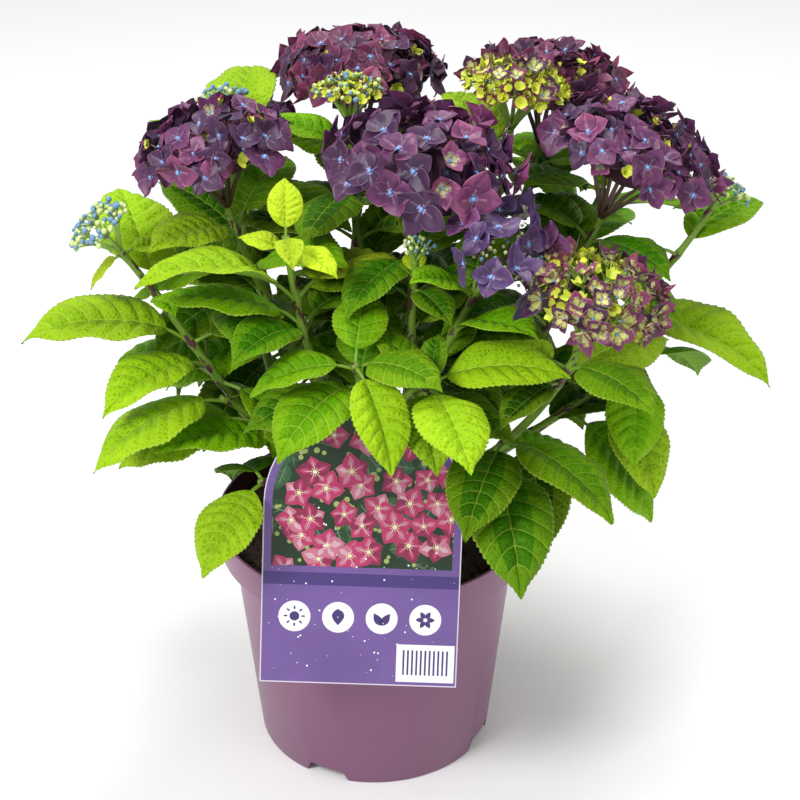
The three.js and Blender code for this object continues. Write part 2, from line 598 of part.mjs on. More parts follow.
function makeHead(shoot) {
  const { head } = shoot;
  const kind = HEADS[head.kind];
  const axis = axisOf(shoot);
  const centre = new THREE.Vector3(...shoot.top);
  const middle = centre.clone().addScaledVector(axis, -CORE_DROP * head.radius);
  const squash = new THREE.Matrix4().makeBasis(...basisOf(axis));
  const core = new THREE.IcosahedronGeometry(1, 0);
  const [wide, high] = coreSizes(head);
  core.scale(wide, wide, high);
  core.applyMatrix4(squash).translate(middle.x, middle.y, middle.z);
  const from = shoot.tip.clone().addScaledVector(axis, shoot.headNode ? FIT : -1);
  const fork = shoot.tip.clone().addScaledVector(axis, CORE_DROP * head.radius + 1);
  let solid = solidOf(core).add(limb([from, fork, middle], [TIP_RADIUS, TIP_RADIUS, TIP_RADIUS], 5));
  for (let i = 0; i < kind.rays; i++) {
    const a = (2 * Math.PI * i) / kind.rays + RAY.turn;
    const [side, other] = basisOf(axis);
    const end = middle.clone().addScaledVector(side, RAY.reach * head.radius * Math.cos(a))
      .addScaledVector(other, RAY.reach * head.radius * Math.sin(a));
    solid = solid.add(limb([fork, end], [RAY.root, RAY.tip], 3));
  }
  for (const spot of domePlaces(head, axis, centre)) {
    const root = insideCore(head, axis, middle, spot.place);
    const floret = floretSolid(spot, kind.size * head.radius, root);
    if (!blocked(floret, null)) solid = solid.add(floret);
  }
  return solid;
}

function basisOf(axis) {
  const side = new THREE.Vector3(1, 0, 0).addScaledVector(axis, -axis.x).normalize();
  return [side, new THREE.Vector3().crossVectors(axis, side), axis.clone()];
}

// ---- Assembly ----

function pairPlaces(shoot) { // each leaf pair's place along the stem
  const steps = shoot.steps ?? (shoot.head ? FLOWERING : LEAFY).steps;
  const length = shoot.foot.distanceTo(shoot.tip) * STEM_SLACK;
  return shoot.pairs.map((_, i) => Math.max(1 - steps[i] / length, CANE_SHARE + 0.04));
}

function growPlant() {
  const grown = { points: [], balls: [] };
  placeOnStool(SHOOTS);
  for (const shoot of SHOOTS) {
    const axis = axisOf(shoot);
    const drop = shoot.head ? HEAD_DROP * shoot.head.radius : 0;
    shoot.tip = new THREE.Vector3(...shoot.top).addScaledVector(axis, -drop);
    shoot.headNode = Boolean(shoot.head && shoot.head.kind !== "buds");
    shoot.places = pairPlaces(shoot);
    const gap = SHOOT_GAP / shoot.foot.distanceTo(shoot.tip);
    solids.set("cane_" + shoot.name, stretch(shoot, 0, CANE_SHARE, CANE_RADIUS, SHOOT_RADIUS));
    solids.set("foliage_" + shoot.name, stretch(shoot, CANE_SHARE + gap, 1, SHOOT_RADIUS, TIP_RADIUS));
    if (shoot.head) {
      const { radius } = shoot.head;
      const centre = new THREE.Vector3(...shoot.top).addScaledVector(axis, HEAD_BALL.rise * radius);
      grown.balls.push({ centre, radius: HEAD_BALL.radius * radius });
    }
  }
  for (const shoot of SHOOTS) {
    for (let t = 0.2; t < 0.95; t += 0.05) grown.points.push(stemPoint(shoot, t));
  }
  for (const shoot of SHOOTS.filter((s) => s.head)) {
    const name = (shoot.headNode ? "flower_head_" : "foliage_") + shoot.name;
    const head = makeHead(shoot);
    solids.set(name, shoot.headNode ? head : solids.get(name).add(head));
  }
  SHOOTS.forEach((shoot, order) => growLeaves(shoot, grown, order));
}

function colourOf(name) {
  if (name.startsWith("cane")) return COLOURS.cane;
  if (name.startsWith("foliage")) return COLOURS.leaf;
  const shoot = SHOOTS.find((s) => name === "flower_head_" + s.name);
  return shoot ? COLOURS[shoot.head.kind] : COLOURS[name];
}

solids.set("pot", makePot());
solids.set("soil", makeSoil());
solids.set("label", makeLabel());
solids.set("wood", makeStool());
growPlant();

const plant = new THREE.Group();
for (const [name, solid] of solids) {
  const material = new THREE.MeshStandardMaterial({ color: colourOf(name), roughness: 0.6, metalness: 0 });
  const mesh = new THREE.Mesh(geometryOf(wholePiece(solid)), material);
  mesh.name = { label: "plant_label", wood: "woody_stem" }[name] ?? name;
  plant.add(mesh);
}

export default plant;
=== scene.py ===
"""A flowering hydrangea in its plastic pot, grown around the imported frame.

The plant follows the same rule as its solids: canes spring from a woody stool in two rings, each to one
shoot, and a shoot carries opposite pairs of leaves and a flower head at its top. Sizes of the rule are in
millimetres, as in the part's source, and finished meshes are in metres.
"""

import math

import bpy
import numpy as np
from bpy.props import FloatProperty, FloatVectorProperty, PointerProperty
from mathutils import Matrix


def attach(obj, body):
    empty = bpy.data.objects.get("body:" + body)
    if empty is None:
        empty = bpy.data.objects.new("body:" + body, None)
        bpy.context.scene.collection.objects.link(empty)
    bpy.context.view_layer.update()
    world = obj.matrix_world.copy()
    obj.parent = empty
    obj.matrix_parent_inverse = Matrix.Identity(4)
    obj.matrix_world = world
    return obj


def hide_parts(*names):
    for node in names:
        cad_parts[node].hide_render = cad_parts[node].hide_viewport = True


bl_info = {
    "name": "Potted Hydrangea",
    "version": (1, 0, 0),
    "blender": (4, 5, 0),
    "location": "3D View > Sidebar > Hydrangea",
    "description": "Grows a flowering hydrangea in its pot, leaf by leaf and floret by floret",
    "category": "Add Mesh",
}

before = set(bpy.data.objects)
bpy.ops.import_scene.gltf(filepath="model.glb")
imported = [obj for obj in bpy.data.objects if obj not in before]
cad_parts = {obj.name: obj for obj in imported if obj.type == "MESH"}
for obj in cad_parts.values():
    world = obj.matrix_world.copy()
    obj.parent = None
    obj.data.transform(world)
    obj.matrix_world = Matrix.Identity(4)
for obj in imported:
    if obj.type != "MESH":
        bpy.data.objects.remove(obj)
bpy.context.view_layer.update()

MM = 0.001
GOLDEN = math.pi * (3 - math.sqrt(5))
UP = np.array([0.0, 0.0, 1.0])
WHITE = (1.0, 1.0, 1.0)

# ---- The plant's rule, as in the part's source ----
SOIL_LEVEL, SOIL_FOOT = 171.0, 14.0
STOOL = {"flare": 36.0, "waist": 30.0, "dome": 30.0, "centre": 184.0}
RINGS = ((24, 8), (56, 14))  # each ring's angle from upright and its count of canes
FIT = 0.3  # clearance between neighbours
CANE_RADIUS, SHOOT_RADIUS, TIP_RADIUS = 4.0, 3.5, 2.3
CANE_SHARE = 0.34  # the woody part of a stem, along it
STEM_LEAVE, STEM_ARRIVE, STEM_SLACK = 0.8, 1.1, 1.08  # pull of a stem's two ends, and its length over its span
HEAD_DROP = 0.72  # how far a stem ends below its head's top, over the head's radius
LEAF_SLIM = 0.33  # a blade's half width over its length
LEAF_OUTLINE = (0.7, 1.05, 3.25)  # the powers of its outline towards base and tip, and its scale
LEAF_ARCH = 0.3  # how far a blade's edges arch down, over its half width
PETIOLE_SHARE, PETIOLE_RISE = 0.2, 14  # a leaf stalk's length over the blade's, and how much steeper it is
SECOND_TRY = 0.8  # size of a leaf that finds no room at its full size
TIP_MISS = 1.0  # a packed leaf is one whose tip lies nearer than this
# A leaf's turns of heading and rise, in degrees, in the order in which they are tried.
TURNS_TO_TRY = (
    (0, 0), (12, 0), (-12, 0), (0, 14), (0, -14), (24, 8), (-24, 8),
    (12, -22), (-12, -22), (36, 0), (-36, 0), (0, 28), (0, -36),
)
# For each pair down a shoot: how far below its tip it stands, the leaves' size and their rise in degrees.
FLOWERING = ((20, 50, 86, 122, 156), (0.75, 0.95, 1, 1, 0.9), (40, 30, 20, 12, 4))
LEAFY = ((5, 26, 58, 94, 130), (0.4, 0.75, 0.95, 1, 0.92), (60, 42, 28, 16, 6))

# Each shoot: top, tilt, leaf length, head kind and radius, steps or None, two tones a pair, and its pairs.
# A leaf is its heading, or its heading, rise and size where these differ from the rule.
# A shoot's tone letters are partly the leaves' age and partly painted light and shade.
SHOOTS = (
    ("front_middle", (-10, -103, 363), 42, 76, None, (3, 8, 36, 66), "fb ff fm mm",
     (((88, 40, 0.75), (-70, -24, 0.86)), ((-36, 24, 0.8), (187, 4, 0.82)), ((-130, 8, 1), 50), (-160, 20))),
    ("front_right_low", (40, -106, 346), 76, 84, None, (3, 10, 34, 66), "bm bf bf mm",
     (((-106, 4, 0.95), 74), ((-8, 38, 0.98), 172), ((-78, 0, 0.75), 110), (-30, 150))),
    ("front_left_young", (-55, -62, 436), 6, 92, None, (2, 12, 50, 70, 78), "yy yy by fm mf",
     (((95, 66, 0.39), (-85, 10, 0.34)), ((-36, 22, 0.42), (165, 22, 0.34)),
      ((-158, 34, 1.05), (45, 30, 1.05)), ((-170, 26, 1), (10, 10, 0.8)), ((-122, 8, 0.72), 70))),
    ("right_front", (144, -102, 408), 16, 88, ("opening", 42), (26, 38, 104, 120), "fb bd fm fm",
     (((-48, 30, 0.8), (150, 20, 0.7)), ((35, 16, 0.95), (-150, 20, 0.6)),
      ((-44, 22, 0.98), (-94, -2, 0.96)), ((30, 0, 0.8), (-76, -8, 1.08)))),
    ("left_bud", (-178, -30, 424), 34, 100, ("buds", 24), (4, 42, 84, 104, 120), "yb bf bf bb ff",
     (((-178, 0, 0.32), (30, 40, 0.34)), ((120, 54, 0.98), (-60, 20, 0.3)),
      ((-166, 24, 1), (20, 10, 0.8)), ((-140, 14, 0.8), 60), (140, -40))),
    ("right_bud", (243, 40, 421), 30, 80, ("buds", 19), (4, 40, 103, 118), "bb fm bm fm",
     (((-60, 30, 0.35), (130, 40, 0.35)), ((38, 48, 1.1), (-150, 20, 0.8)), ((-28, 3, 1.27), 140),
      (10, 100))),
    ("right", (174, 20, 453), 22, 88, ("open", 60), None, "mm fm dd dd",
     (((-32, 34, 0.72), (140, 20, 0.8)), ((-40, 8, 0.85), 100), (40, -140), (-20, 150))),
    ("left", (-107, 8, 461), 14, 88, ("open", 50), None, "bf ff mm fm",
     (((-146, 42, 0.8), (66, 42, 0.9)), ((168, -5, 0.95), -50), (120, -80), (176, 0))),
    ("centre", (32, -20, 461), 5, 84, ("open", 62), None, "md mf dm dd",
     (((-125, 46, 0.8), 70), (-45, 150), (-160, 30), (-70, 110))),
    ("front_bud", (30, -60, 425), 8, 76, ("buds", 11), (14, 24, 60, 94), "yf mm mm dm",
     (((88, 60, 0.35), (-95, 30, 0.3)), ((-62, 24, 0.6), 170), ((68, 25, 0.8), -120), (-30, 140))),
    ("front_violet", (86, -82, 431), 34, 80, ("lace", 36), None, "fm fm mm dd",
     ((-150, 40), (-40, 140), (-100, 60), (0, 180))),
    ("rear_right_young", (98, 50, 492), 6, 80, ("opening", 37), None, "bf mm dd dd",
     (((112, 56, 1.05), -50), (30, -150), (100, -80), (0, 180))),
    ("rear_middle_young", (-15, 48, 488), 4, 80, ("buds", 24), None, "ff mm dd dd",
     ((170, -10), (80, -100), (160, -20), (60, -110))),
    ("rear", (-10, 128, 468), 8, 90, ("open", 58), None, "ff mm mm dd dd",
     ((20, 160), (95, -80), (10, 170), (60, -120), (100, -80))),
    ("rear_right", (128, 122, 464), 16, 90, ("open", 53), None, "ff mm mm dd dd",
     ((0, 100), (60, -130), (-10, 120), (30, -150), (70, -130))),
    ("rear_left_bud", (-104, 82, 470), 12, 84, ("buds", 19), None, "bb ff mm mm dd",
     (((80, 42, 1.08), (-60, 30, 0.5)), ((145, 38, 0.95), -40), ((150, 36, 0.9), 20), (110, -100),
      (150, -20))),
    ("back_left", (-108, 180, 392), 30, 92, ("open", 50), None, "ff mm mm dd dd",
     ((180, 60), (120, -60), (170, 20), (110, -110), (150, 40))),
    ("back_right", (48, 200, 384), 30, 92, ("open", 50), None, "ff mm mm dd dd",
     ((20, 150), (90, -100), (10, 170), (60, 130), (0, 180))),
    ("back_right_low", (172, 150, 372), 46, 92, None, None, "bb ff mm mm dd",
     ((60, -120), (-10, 140), (50, -100), (0, 110), (40, -60))),
    ("left_low", (-104, -46, 306), 54, 98, None, (6, 34, 60), "bm bf ff",
     (((-146, 6, 0.92), (60, 10, 0.8)), ((-175, 0, 0.9), 120), (-110, 60))),
    ("front_left_low", (-76, -84, 262), 56, 84, None, (4, 34, 58), "bm ff mm",
     (((-121, -12, 0.84), (100, 10, 0.8)), ((-90, 10, 0.6), 120), ((160, 24, 0.7), 30))),
    ("right_low", (190, 0, 312), 50, 92, None, (6, 34, 64, 92), "ff bf fm dd",
     (((-80, -10, 0.75), (60, 10, 0.9)), ((-50, -2, 0.85), 130), ((-36, -14, 1), 150),
      ((-76, -24, 0.9), 60))),
)
# The leaves' tones, from the youngest to the oldest, with their letters in a shoot's pairs. They are partly the
# leaves' age and partly painted light and shade: some leaves lit from behind or lying in a head's shadow get lighter
# tones, and leaves inside the plant get deeper tones for the shade there.
TONES = {"y": "young", "b": "bright", "f": "fresh", "m": "middle", "d": "deep"}

# Each head kind's dome height over its radius and how far round it the florets reach, in degrees.
HEAD_SHAPES = {"open": (0.64, 84), "opening": (0.52, 82), "lace": (0.5, 84), "buds": (0.6, 70)}
# Each head: its colour, its count of florets, their radius, and the shares that are young and half open.
HEADS = {
    "rear": ("wine", 76, 13.5, 0.05, 0.1), "left": ("mauve", 40, 13.2, 0.12, 0.16),
    "centre": ("mauve", 38, 16.2, 0.05, 0.08), "rear_right": ("wine", 54, 13.0, 0.10, 0.12),
    "right": ("mauve", 60, 13.0, 0.12, 0.14), "back_left": ("mauve", 46, 14.0, 0.06, 0.1),
    "back_right": ("wine", 46, 14.0, 0.06, 0.1), "front_violet": ("violet", 13, 16.0, 0.0, 0.1),
    "right_front": ("young", 90, 8.6, 0.52, 0.48), "rear_right_young": ("young", 100, 8.2, 0.84, 0.16),
    "rear_middle_young": ("young", 46, 7.2, 1.0, 0.0),
}
# Each head in bud: its colour, its count of buds and their radius.
BUD_HEADS = {"left_bud": ("mixed", 92, 2.0), "right_bud": ("lime", 40, 2.0), "front_bud": ("lime", 22, 1.6),
             "rear_middle_young": ("mixed", 60, 2.0), "rear_left_bud": ("blue", 46, 2.0)}


def srgb(*parts):
    """A display colour, 0 to 255, as the linear values that the shaders take."""
    c = np.array(parts) / 255
    return tuple(float(v) for v in np.where(c <= 0.04045, c / 12.92, ((c + 0.055) / 1.055) ** 2.4))


def colour(name, about, *parts):
    """A property for a colour."""
    return FloatVectorProperty(name=name, description=about, subtype="COLOR", size=3, min=0, max=1,
                               default=srgb(*parts))


def length(name, about, value):
    """A property for a length in metres."""
    return FloatProperty(name=name, description=about, default=value, min=0, unit="LENGTH", subtype="DISTANCE",
                         precision=4)


def share(name, about, value):
    """A property for a share from 0 to 1."""
    return FloatProperty(name=name, description=about, default=value, min=0, max=1, subtype="FACTOR")


class HYDRANGEA_PG_pot(bpy.types.PropertyGroup):
    """Sizes and colours of the pot and of the compost in it."""
    height: length("Height", "Height of the pot", 0.185)
    rim_radius: length("Rim radius", "Outer radius at the lip", 0.115)
    collar_height: length("Collar height", "Height of the band under the lip", 0.024)
    collar_radius: length("Collar radius", "Outer radius at the collar's lower edge", 0.1133)
    wall_radius: length("Wall radius", "Outer radius just under the collar", 0.104)
    foot_radius: length("Foot radius", "Outer radius at the ground", 0.087)
    wall: length("Wall thickness", "Thickness of the moulded wall", 0.0018)
    floor: length("Floor thickness", "Thickness of the pot's floor", 0.003)
    plastic: colour("Plastic", "Colour of the outside", 120, 74, 106)
    # Inside: painted shade, the plastic drawn darker on the inner wall and floor.
    inside: colour("Inside", "Colour of the inner wall", 62, 18, 34)
    soil: colour("Compost", "Main colour of the compost", 44, 29, 22)
    fibre: colour("Fibres", "Colour of fibres and bark in the compost", 96, 66, 44)


class HYDRANGEA_PG_card(bpy.types.PropertyGroup):
    """Sizes and colours of the card label."""
    width: length("Width", "Width of the card", 0.136)
    height: length("Height", "Height to the top of the arch", 0.196)
    thick: length("Thickness", "Thickness of the card", 0.0012)
    ground: colour("Ground", "Colour of the card", 104, 78, 140)
    band: colour("Band", "Colour of the plain band", 66, 48, 112)
    petal: colour("Petals", "Colour of the printed flowers", 170, 46, 94)
    leaf: colour("Printed leaves", "Colour of the printed leaves", 40, 84, 44)
    paper: colour("White", "Colour of the discs and the patch", 236, 234, 238)


class HYDRANGEA_PG_leaves(bpy.types.PropertyGroup):
    """Colours of the leaves and stems, from the youngest to the oldest; the leaf tones also carry painted light and
    shade.
    """
    young: colour("Young leaves", "Newest leaves at the tips", 158, 184, 24)
    bright: colour("Bright leaves", "Young full-sized leaves", 116, 157, 0)
    fresh: colour("Fresh leaves", "Upper leaves", 80, 134, 0)
    middle: colour("Middle leaves", "Leaves on the middle of a shoot", 42, 100, 0)
    # Deep leaves sit inside the plant; their darkness is partly their age and partly painted shade.
    deep: colour("Deep leaves", "Oldest leaves inside the plant", 22, 74, 0)
    vein: share("Vein lightness", "How far the veins go towards their own colour", 0.3)
    vein_tint: colour("Vein tint", "Colour that the veins go towards", 214, 232, 96)
    under: colour("Underside", "Colour of the leaves' undersides", 140, 172, 84)
    stem: colour("Green stems", "Colour of young stems and leaf stalks", 104, 138, 32)
    fleck: colour("Flecks", "Dark flecks on the stems", 74, 36, 42)
    bark: colour("Bark", "Colour of the woody foot", 104, 84, 62)


class HYDRANGEA_PG_flowers(bpy.types.PropertyGroup):
    """Colours of the flower heads."""
    wine: colour("Wine", "Red-purple florets", 104, 43, 77)
    mauve: colour("Mauve", "Purple florets", 97, 44, 87)
    violet: colour("Violet", "Blue-violet florets", 78, 50, 98)
    throat: colour("Throat", "Pale star in the middle of an open floret", 142, 128, 172)
    cream: colour("Cream", "Base of half-open florets", 202, 206, 122)
    young: colour("Young", "Young green florets", 196, 208, 44)
    blush: colour("Blush", "Tips of young florets", 104, 40, 58)
    rose: colour("Rose", "Flush of the reddest florets", 128, 58, 82)
    eye: colour("Eye", "Bead in the middle of a floret", 120, 172, 226)
    blue_bud: colour("Blue buds", "Round buds, blue", 104, 142, 172)
    green_bud: colour("Green buds", "Round buds, green-white", 190, 206, 134)


class HYDRANGEA_PG_stage(bpy.types.PropertyGroup):
    """The camera, the floor and the light."""
    distance: length("Camera distance", "From the camera to the point it looks at", 1.5)
    elevation: FloatProperty(name="Camera elevation", description="Angle above the ground",
                             default=math.radians(29.77), unit="ROTATION", subtype="ANGLE")
    lens: FloatProperty(name="Lens", description="Focal length in millimetres", default=94.74, min=10,
                        unit="CAMERA")
    floor: colour("Floor", "Colour of the floor", 246, 246, 246)
    light: FloatProperty(name="Light", description="Strength of the main light in watts", default=29.0, min=0)


# ---- Meshes from arrays ----


def grid_faces(rows, cols, wrap=False):
    """Two triangles for each cell of a grid of rows by columns; wrap joins the last column to the first."""
    r = np.arange(rows - 1)[:, None]
    c = np.arange(cols if wrap else cols - 1)[None, :]
    a = r * cols + c
    b = r * cols + (c + 1) % cols
    quads = np.stack([a, b, b + cols, a + cols], -1).reshape(-1, 4)
    return np.concatenate([quads[:, [0, 1, 2]], quads[:, [0, 2, 3]]], 1).reshape(-1, 3)


def around(sides):
    """Evenly spaced angles round a circle."""
    return np.arange(sides) * 2 * np.pi / sides


def hoops(radii, heights, sides):
    """Level rings of points round the upright axis, one for each radius and height."""
    r, z, a = np.asarray(radii)[:, None], np.asarray(heights)[:, None], around(sides)
    return np.stack(np.broadcast_arrays(r * np.cos(a), r * np.sin(a), z), -1)


def closed(rings, low, high):
    """A closed shape from rings of equally many points: their grid, and a fan at each end to a point."""
    rows, sides = rings.shape[:2]
    n, i = rows * sides, np.arange(sides)
    j = (i + 1) % sides
    first = np.stack([np.full(sides, n), j, i], 1)
    last = np.stack([np.full(sides, n + 1), n - sides + i, n - sides + j], 1)
    return (np.concatenate([rings.reshape(-1, 3), [low], [high]]),
            np.concatenate([grid_faces(rows, sides, wrap=True), first, last]))


def bar(outline, start, end):
    """A closed bar along X: an outline that its first corner sees all of, from one X to another."""
    n = len(outline)
    points = np.concatenate([np.column_stack([np.full(n, x), outline]) for x in (start, end)])
    i = np.arange(n)
    j = (i + 1) % n
    fan = np.stack([np.zeros(n - 2, int), i[1:-1], i[2:]], 1)
    wall = [np.stack([i, j, j + n], 1), np.stack([i, j + n, i + n], 1)]
    return points, np.concatenate([*wall, fan[:, ::-1], fan + n])


def linked(name, data):
    """A new object in the scene."""
    made = bpy.data.objects.new(name, data)
    bpy.context.scene.collection.objects.link(made)
    return made


class Sheaf:
    """Collects many small shapes, each with the kinds of its faces, into one mesh."""

    def __init__(self):
        self.points, self.faces, self.kinds, self.count = [], [], [], 0

    def add(self, points, faces, kind=0):
        """Adds a shape in millimetres. kind is one number for all its faces, or one for each."""
        points = np.asarray(points, float).reshape(-1, 3)
        self.points.append(points)
        self.faces.append(faces + self.count)
        self.kinds.append(np.broadcast_to(np.asarray(kind, np.int32), len(faces)))
        self.count += len(points)

    def piece(self, name, materials, slot, nodes=(), smooth=True):
        """Makes the mesh, with a material for each kind, and settles it on the part."""
        points = np.concatenate(self.points)
        faces = np.concatenate(self.faces).astype(np.int32)
        mesh = bpy.data.meshes.new(name)
        mesh.vertices.add(len(points))
        mesh.vertices.foreach_set("co", (points * MM).astype(np.float32).ravel())
        mesh.loops.add(faces.size)
        mesh.loops.foreach_set("vertex_index", faces.ravel())
        mesh.polygons.add(len(faces))
        mesh.polygons.foreach_set("loop_start", np.arange(0, faces.size, 3, dtype=np.int32))
        mesh.polygons.foreach_set("material_index", np.concatenate(self.kinds).astype(np.int32))
        mesh.polygons.foreach_set("use_smooth", np.full(len(faces), smooth))
        mesh.update(calc_edges=True)
        for finish in materials:
            mesh.materials.append(finish)
        settle(linked(name, mesh), nodes)


def settle(piece, nodes):
    """Lets a finished piece ride on the part, and hides the solids that it stands for."""
    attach(piece, "root")
    if nodes:
        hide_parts(*nodes)


def vectors(items, what):
    """A vector that every vertex or face of a mesh has, as an array."""
    values = np.zeros(len(items) * 3, np.float32)
    items.foreach_get(what, values)
    return values.reshape(-1, 3)


def normalised(v):
    """Vectors at unit length."""
    return v / np.linalg.norm(v, axis=-1, keepdims=True)


def beside_axis(axis):
    """Two unit vectors square to a leaning axis, the first of them as near to X as can be."""
    side = normalised(np.array([1.0, 0, 0]) - axis * axis[0])
    return side, np.cross(axis, side)


def across(direction):
    """Two unit vectors square to a direction and to each other."""
    aside = np.array([1.0, 0, 0]) if abs(direction[2]) > 0.9 else UP
    side = normalised(np.cross(direction, aside))
    return side, np.cross(direction, side)


def tube(points, radii, sides, relief=None):
    """A closed tube: rings of equal angle square to the path's own direction, and a point at each end.
    relief multiplies the radius at each ring and side."""
    points = np.asarray(points, float)
    way = normalised(np.gradient(points, axis=0))
    mean = normalised(points[-1] - points[0])
    aside = np.eye(3)[np.argmin(np.abs(mean))]
    side = normalised(np.cross(way, aside))
    other = np.cross(way, side)
    a = around(sides)
    r = np.asarray(radii, float)[:, None] * (np.ones((len(points), sides)) if relief is None else relief)
    rings = points[:, None] + r[..., None] * (
        side[:, None] * np.cos(a)[None, :, None] + other[:, None] * np.sin(a)[None, :, None])
    return closed(rings, points[0], points[-1])


def bead(centre, radius, sides=6, rings=4):
    """A small round bead: rings whose radius is the sine of their angle from the pole."""
    polar = np.linspace(0, np.pi, rings + 1)[1:-1]
    points, faces = closed(hoops(np.sin(polar), np.cos(polar), sides), UP, -UP)
    return points * radius + centre, faces[:, ::-1]


def lathe(profile, segments, relief=None):
    """A closed turned shape: the profile's radii and heights carried round the upright axis, from a first to a
    last point on it. relief takes the rings and gives them back roughened."""
    profile = np.asarray(profile, float)
    rings = hoops(*profile[1:-1].T, segments)
    if relief is not None:
        rings = relief(rings)
    return closed(rings, UP * profile[0, 1], UP * profile[-1, 1])


def ripple(points, scale, seed, octaves=3):
    """Smooth relief from -1 to 1: a sum of sine waves in seeded directions, each octave twice as fine."""
    rng = np.random.default_rng(seed)
    total = np.zeros(points.shape[:-1])
    for k in range(octaves):
        ways = normalised(rng.normal(size=(5, 3))) * scale * 2**k
        total += np.sin(points @ ways.T + rng.uniform(0, 2 * np.pi, 5)).mean(-1) / 2**k
    return total / 1.2


# ---- Materials ----


def set_sockets(node, sockets):
    """Sets a node's inputs from a dictionary that has low lines for the blanks in their names."""
    for socket, value in sockets.items():
        node.inputs[socket.replace("_", " ")].default_value = value


def new_node(made, kind, setting=None, **sockets):
    """A new node of a material. A setting that decides which inputs it has comes before them."""
    node = made.node_tree.nodes.new("ShaderNode" + kind)
    if setting:
        setattr(node, *setting)
    set_sockets(node, sockets)
    return node


def colour_mix(made, **sockets):
    """A node of a material that mixes two colours."""
    return new_node(made, "Mix", ("data_type", "RGBA"), **sockets)


def join(made, source, output, target, socket):
    """Links a node's output to another node's input."""
    made.node_tree.links.new(source.outputs[output], target.inputs[socket])


def material(name, base, rough, spread, grain, bump, depth, patch, **sockets):
    """A plain finish: the base colour with a faint mottle, and a fine grain in relief. spread is how far the
    mottle goes from the base colour and patch its scale per metre; grain is the relief's scale per metre, bump
    its strength and depth its height in metres."""
    made = bpy.data.materials.new(name)
    made.use_nodes = True
    shader = made.node_tree.nodes["Principled BSDF"]
    place = new_node(made, "TexCoord")
    mottle = new_node(made, "TexNoise", Scale=patch, Detail=3)
    join(made, place, "Object", mottle, "Vector")
    mix = colour_mix(made, A=(*shade(base, 1 - spread), 1), B=(*shade(base, 1 + spread), 1))
    join(made, mottle, "Fac", mix, "Factor")
    join(made, mix, "Result", shader, "Base Color")
    fine_grain = new_node(made, "TexNoise", Scale=grain)
    join(made, place, "Object", fine_grain, "Vector")
    relief = new_node(made, "Bump", Strength=bump, Distance=depth)
    join(made, fine_grain, "Fac", relief, "Height")
    join(made, relief, "Normal", shader, "Normal")
    set_sockets(shader, {"Roughness": rough, **sockets})
    return made


def wander(made, base, low, high):
    """Widens a finish's mottle: from one set of red, green and blue shares of the base colour to another."""
    for socket, shares in (("A", low), ("B", high)):
        made.node_tree.nodes["Mix"].inputs[socket].default_value = (*[min(1, c * f) for c, f in zip(base, shares)], 1)


def blend(base, other, amount):
    """A colour that lies an amount of the way, from 0 to 1, from one colour to another."""
    return tuple(b + (o - b) * amount for b, o in zip(base, other))


def shade(base, factor):
    """A colour made darker or lighter by a factor."""
    return tuple(min(1.0, c * factor) for c in base)


# ---- The growth rule ----


def leaning(lean, heading):
    """A unit vector at an angle from upright, towards a heading."""
    return np.array([math.sin(lean) * math.cos(heading), math.sin(lean) * math.sin(heading), math.cos(lean)])


def heading_of(shoot):
    """The heading of a shoot's top, seen from the middle of the plant."""
    return math.atan2(shoot["top"][1], shoot["top"][0])


def grow_stems():
    """Every shoot's foot on the stool, its tip, and the directions it starts and ends with."""
    keys = ("name", "top", "tilt", "leaf", "head", "steps", "tones", "pairs")
    shoots = [dict(zip(keys, row)) for row in SHOOTS]
    by_reach = sorted(shoots, key=lambda s: math.hypot(s["top"][0], s["top"][1]))
    first = 0
    for polar, canes in RINGS:
        ring = sorted(by_reach[first:first + canes], key=heading_of)
        first += canes
        pitch = 2 * math.pi / canes
        swing = sum(heading_of(s) - i * pitch for i, s in enumerate(ring)) / canes
        for i, s in enumerate(ring):
            s["normal"] = leaning(math.radians(polar), swing + i * pitch)
            s["foot"] = UP * STOOL["centre"] + s["normal"] * (STOOL["dome"] + FIT)
    for s in shoots:
        s["axis"] = leaning(math.radians(s["tilt"]), heading_of(s))
        s["top"] = np.array(s["top"], float)
        s["tip"] = s["top"] - s["axis"] * (HEAD_DROP * s["head"][1] if s["head"] else 0)
        s["span"] = float(np.linalg.norm(s["tip"] - s["foot"]))
        rule = FLOWERING if s["head"] else LEAFY
        steps = s["steps"] or rule[0]
        s["places"] = [max(1 - steps[i] / (s["span"] * STEM_SLACK), CANE_SHARE + 0.04)
                       for i in range(len(s["pairs"]))]
    return shoots


def stem_points(shoot, t):
    """A stem's line: a cubic that leaves the stool square to its surface and ends along the top's axis."""
    t = np.asarray(t, float)[..., None]
    h1 = t * t * (3 - 2 * t)
    h2 = t * (1 - t) ** 2
    h3 = t * t * (t - 1)
    return (shoot["foot"] * (1 - h1) + shoot["tip"] * h1 + shoot["normal"] * h2 * shoot["span"] * STEM_LEAVE
            + shoot["axis"] * h3 * shoot["span"] * STEM_ARRIVE)


def seeded(seed):
    """A small sequence of numbers from 0 to 1, the same as the part's source draws."""
    while True:
        seed = seed * 16807 % 2147483647
        yield seed / 2147483647


def leaf_at(shoot, pair, heading, rise, size, draws):
    """One leaf of a shoot's pair, with heading and rise in degrees: where it stands and how it bends."""
    jitter, bend, tip, crease = draws
    root = stem_points(shoot, shoot["places"][pair])
    a = math.radians(heading + 10 * (jitter - 0.5))
    steep = math.radians(rise + PETIOLE_RISE)
    way = np.array([math.cos(steep) * math.cos(a), math.cos(steep) * math.sin(a), math.sin(steep)])
    return {"root": root, "length": size, "heading": a, "rise": math.radians(rise), "way": way,
            "base": root + way * size * PETIOLE_SHARE, "droop": math.radians(26 + 26 * bend),
            "fold": math.radians(12 + 20 * crease), "roll": math.radians(24 * (tip - 0.5))}


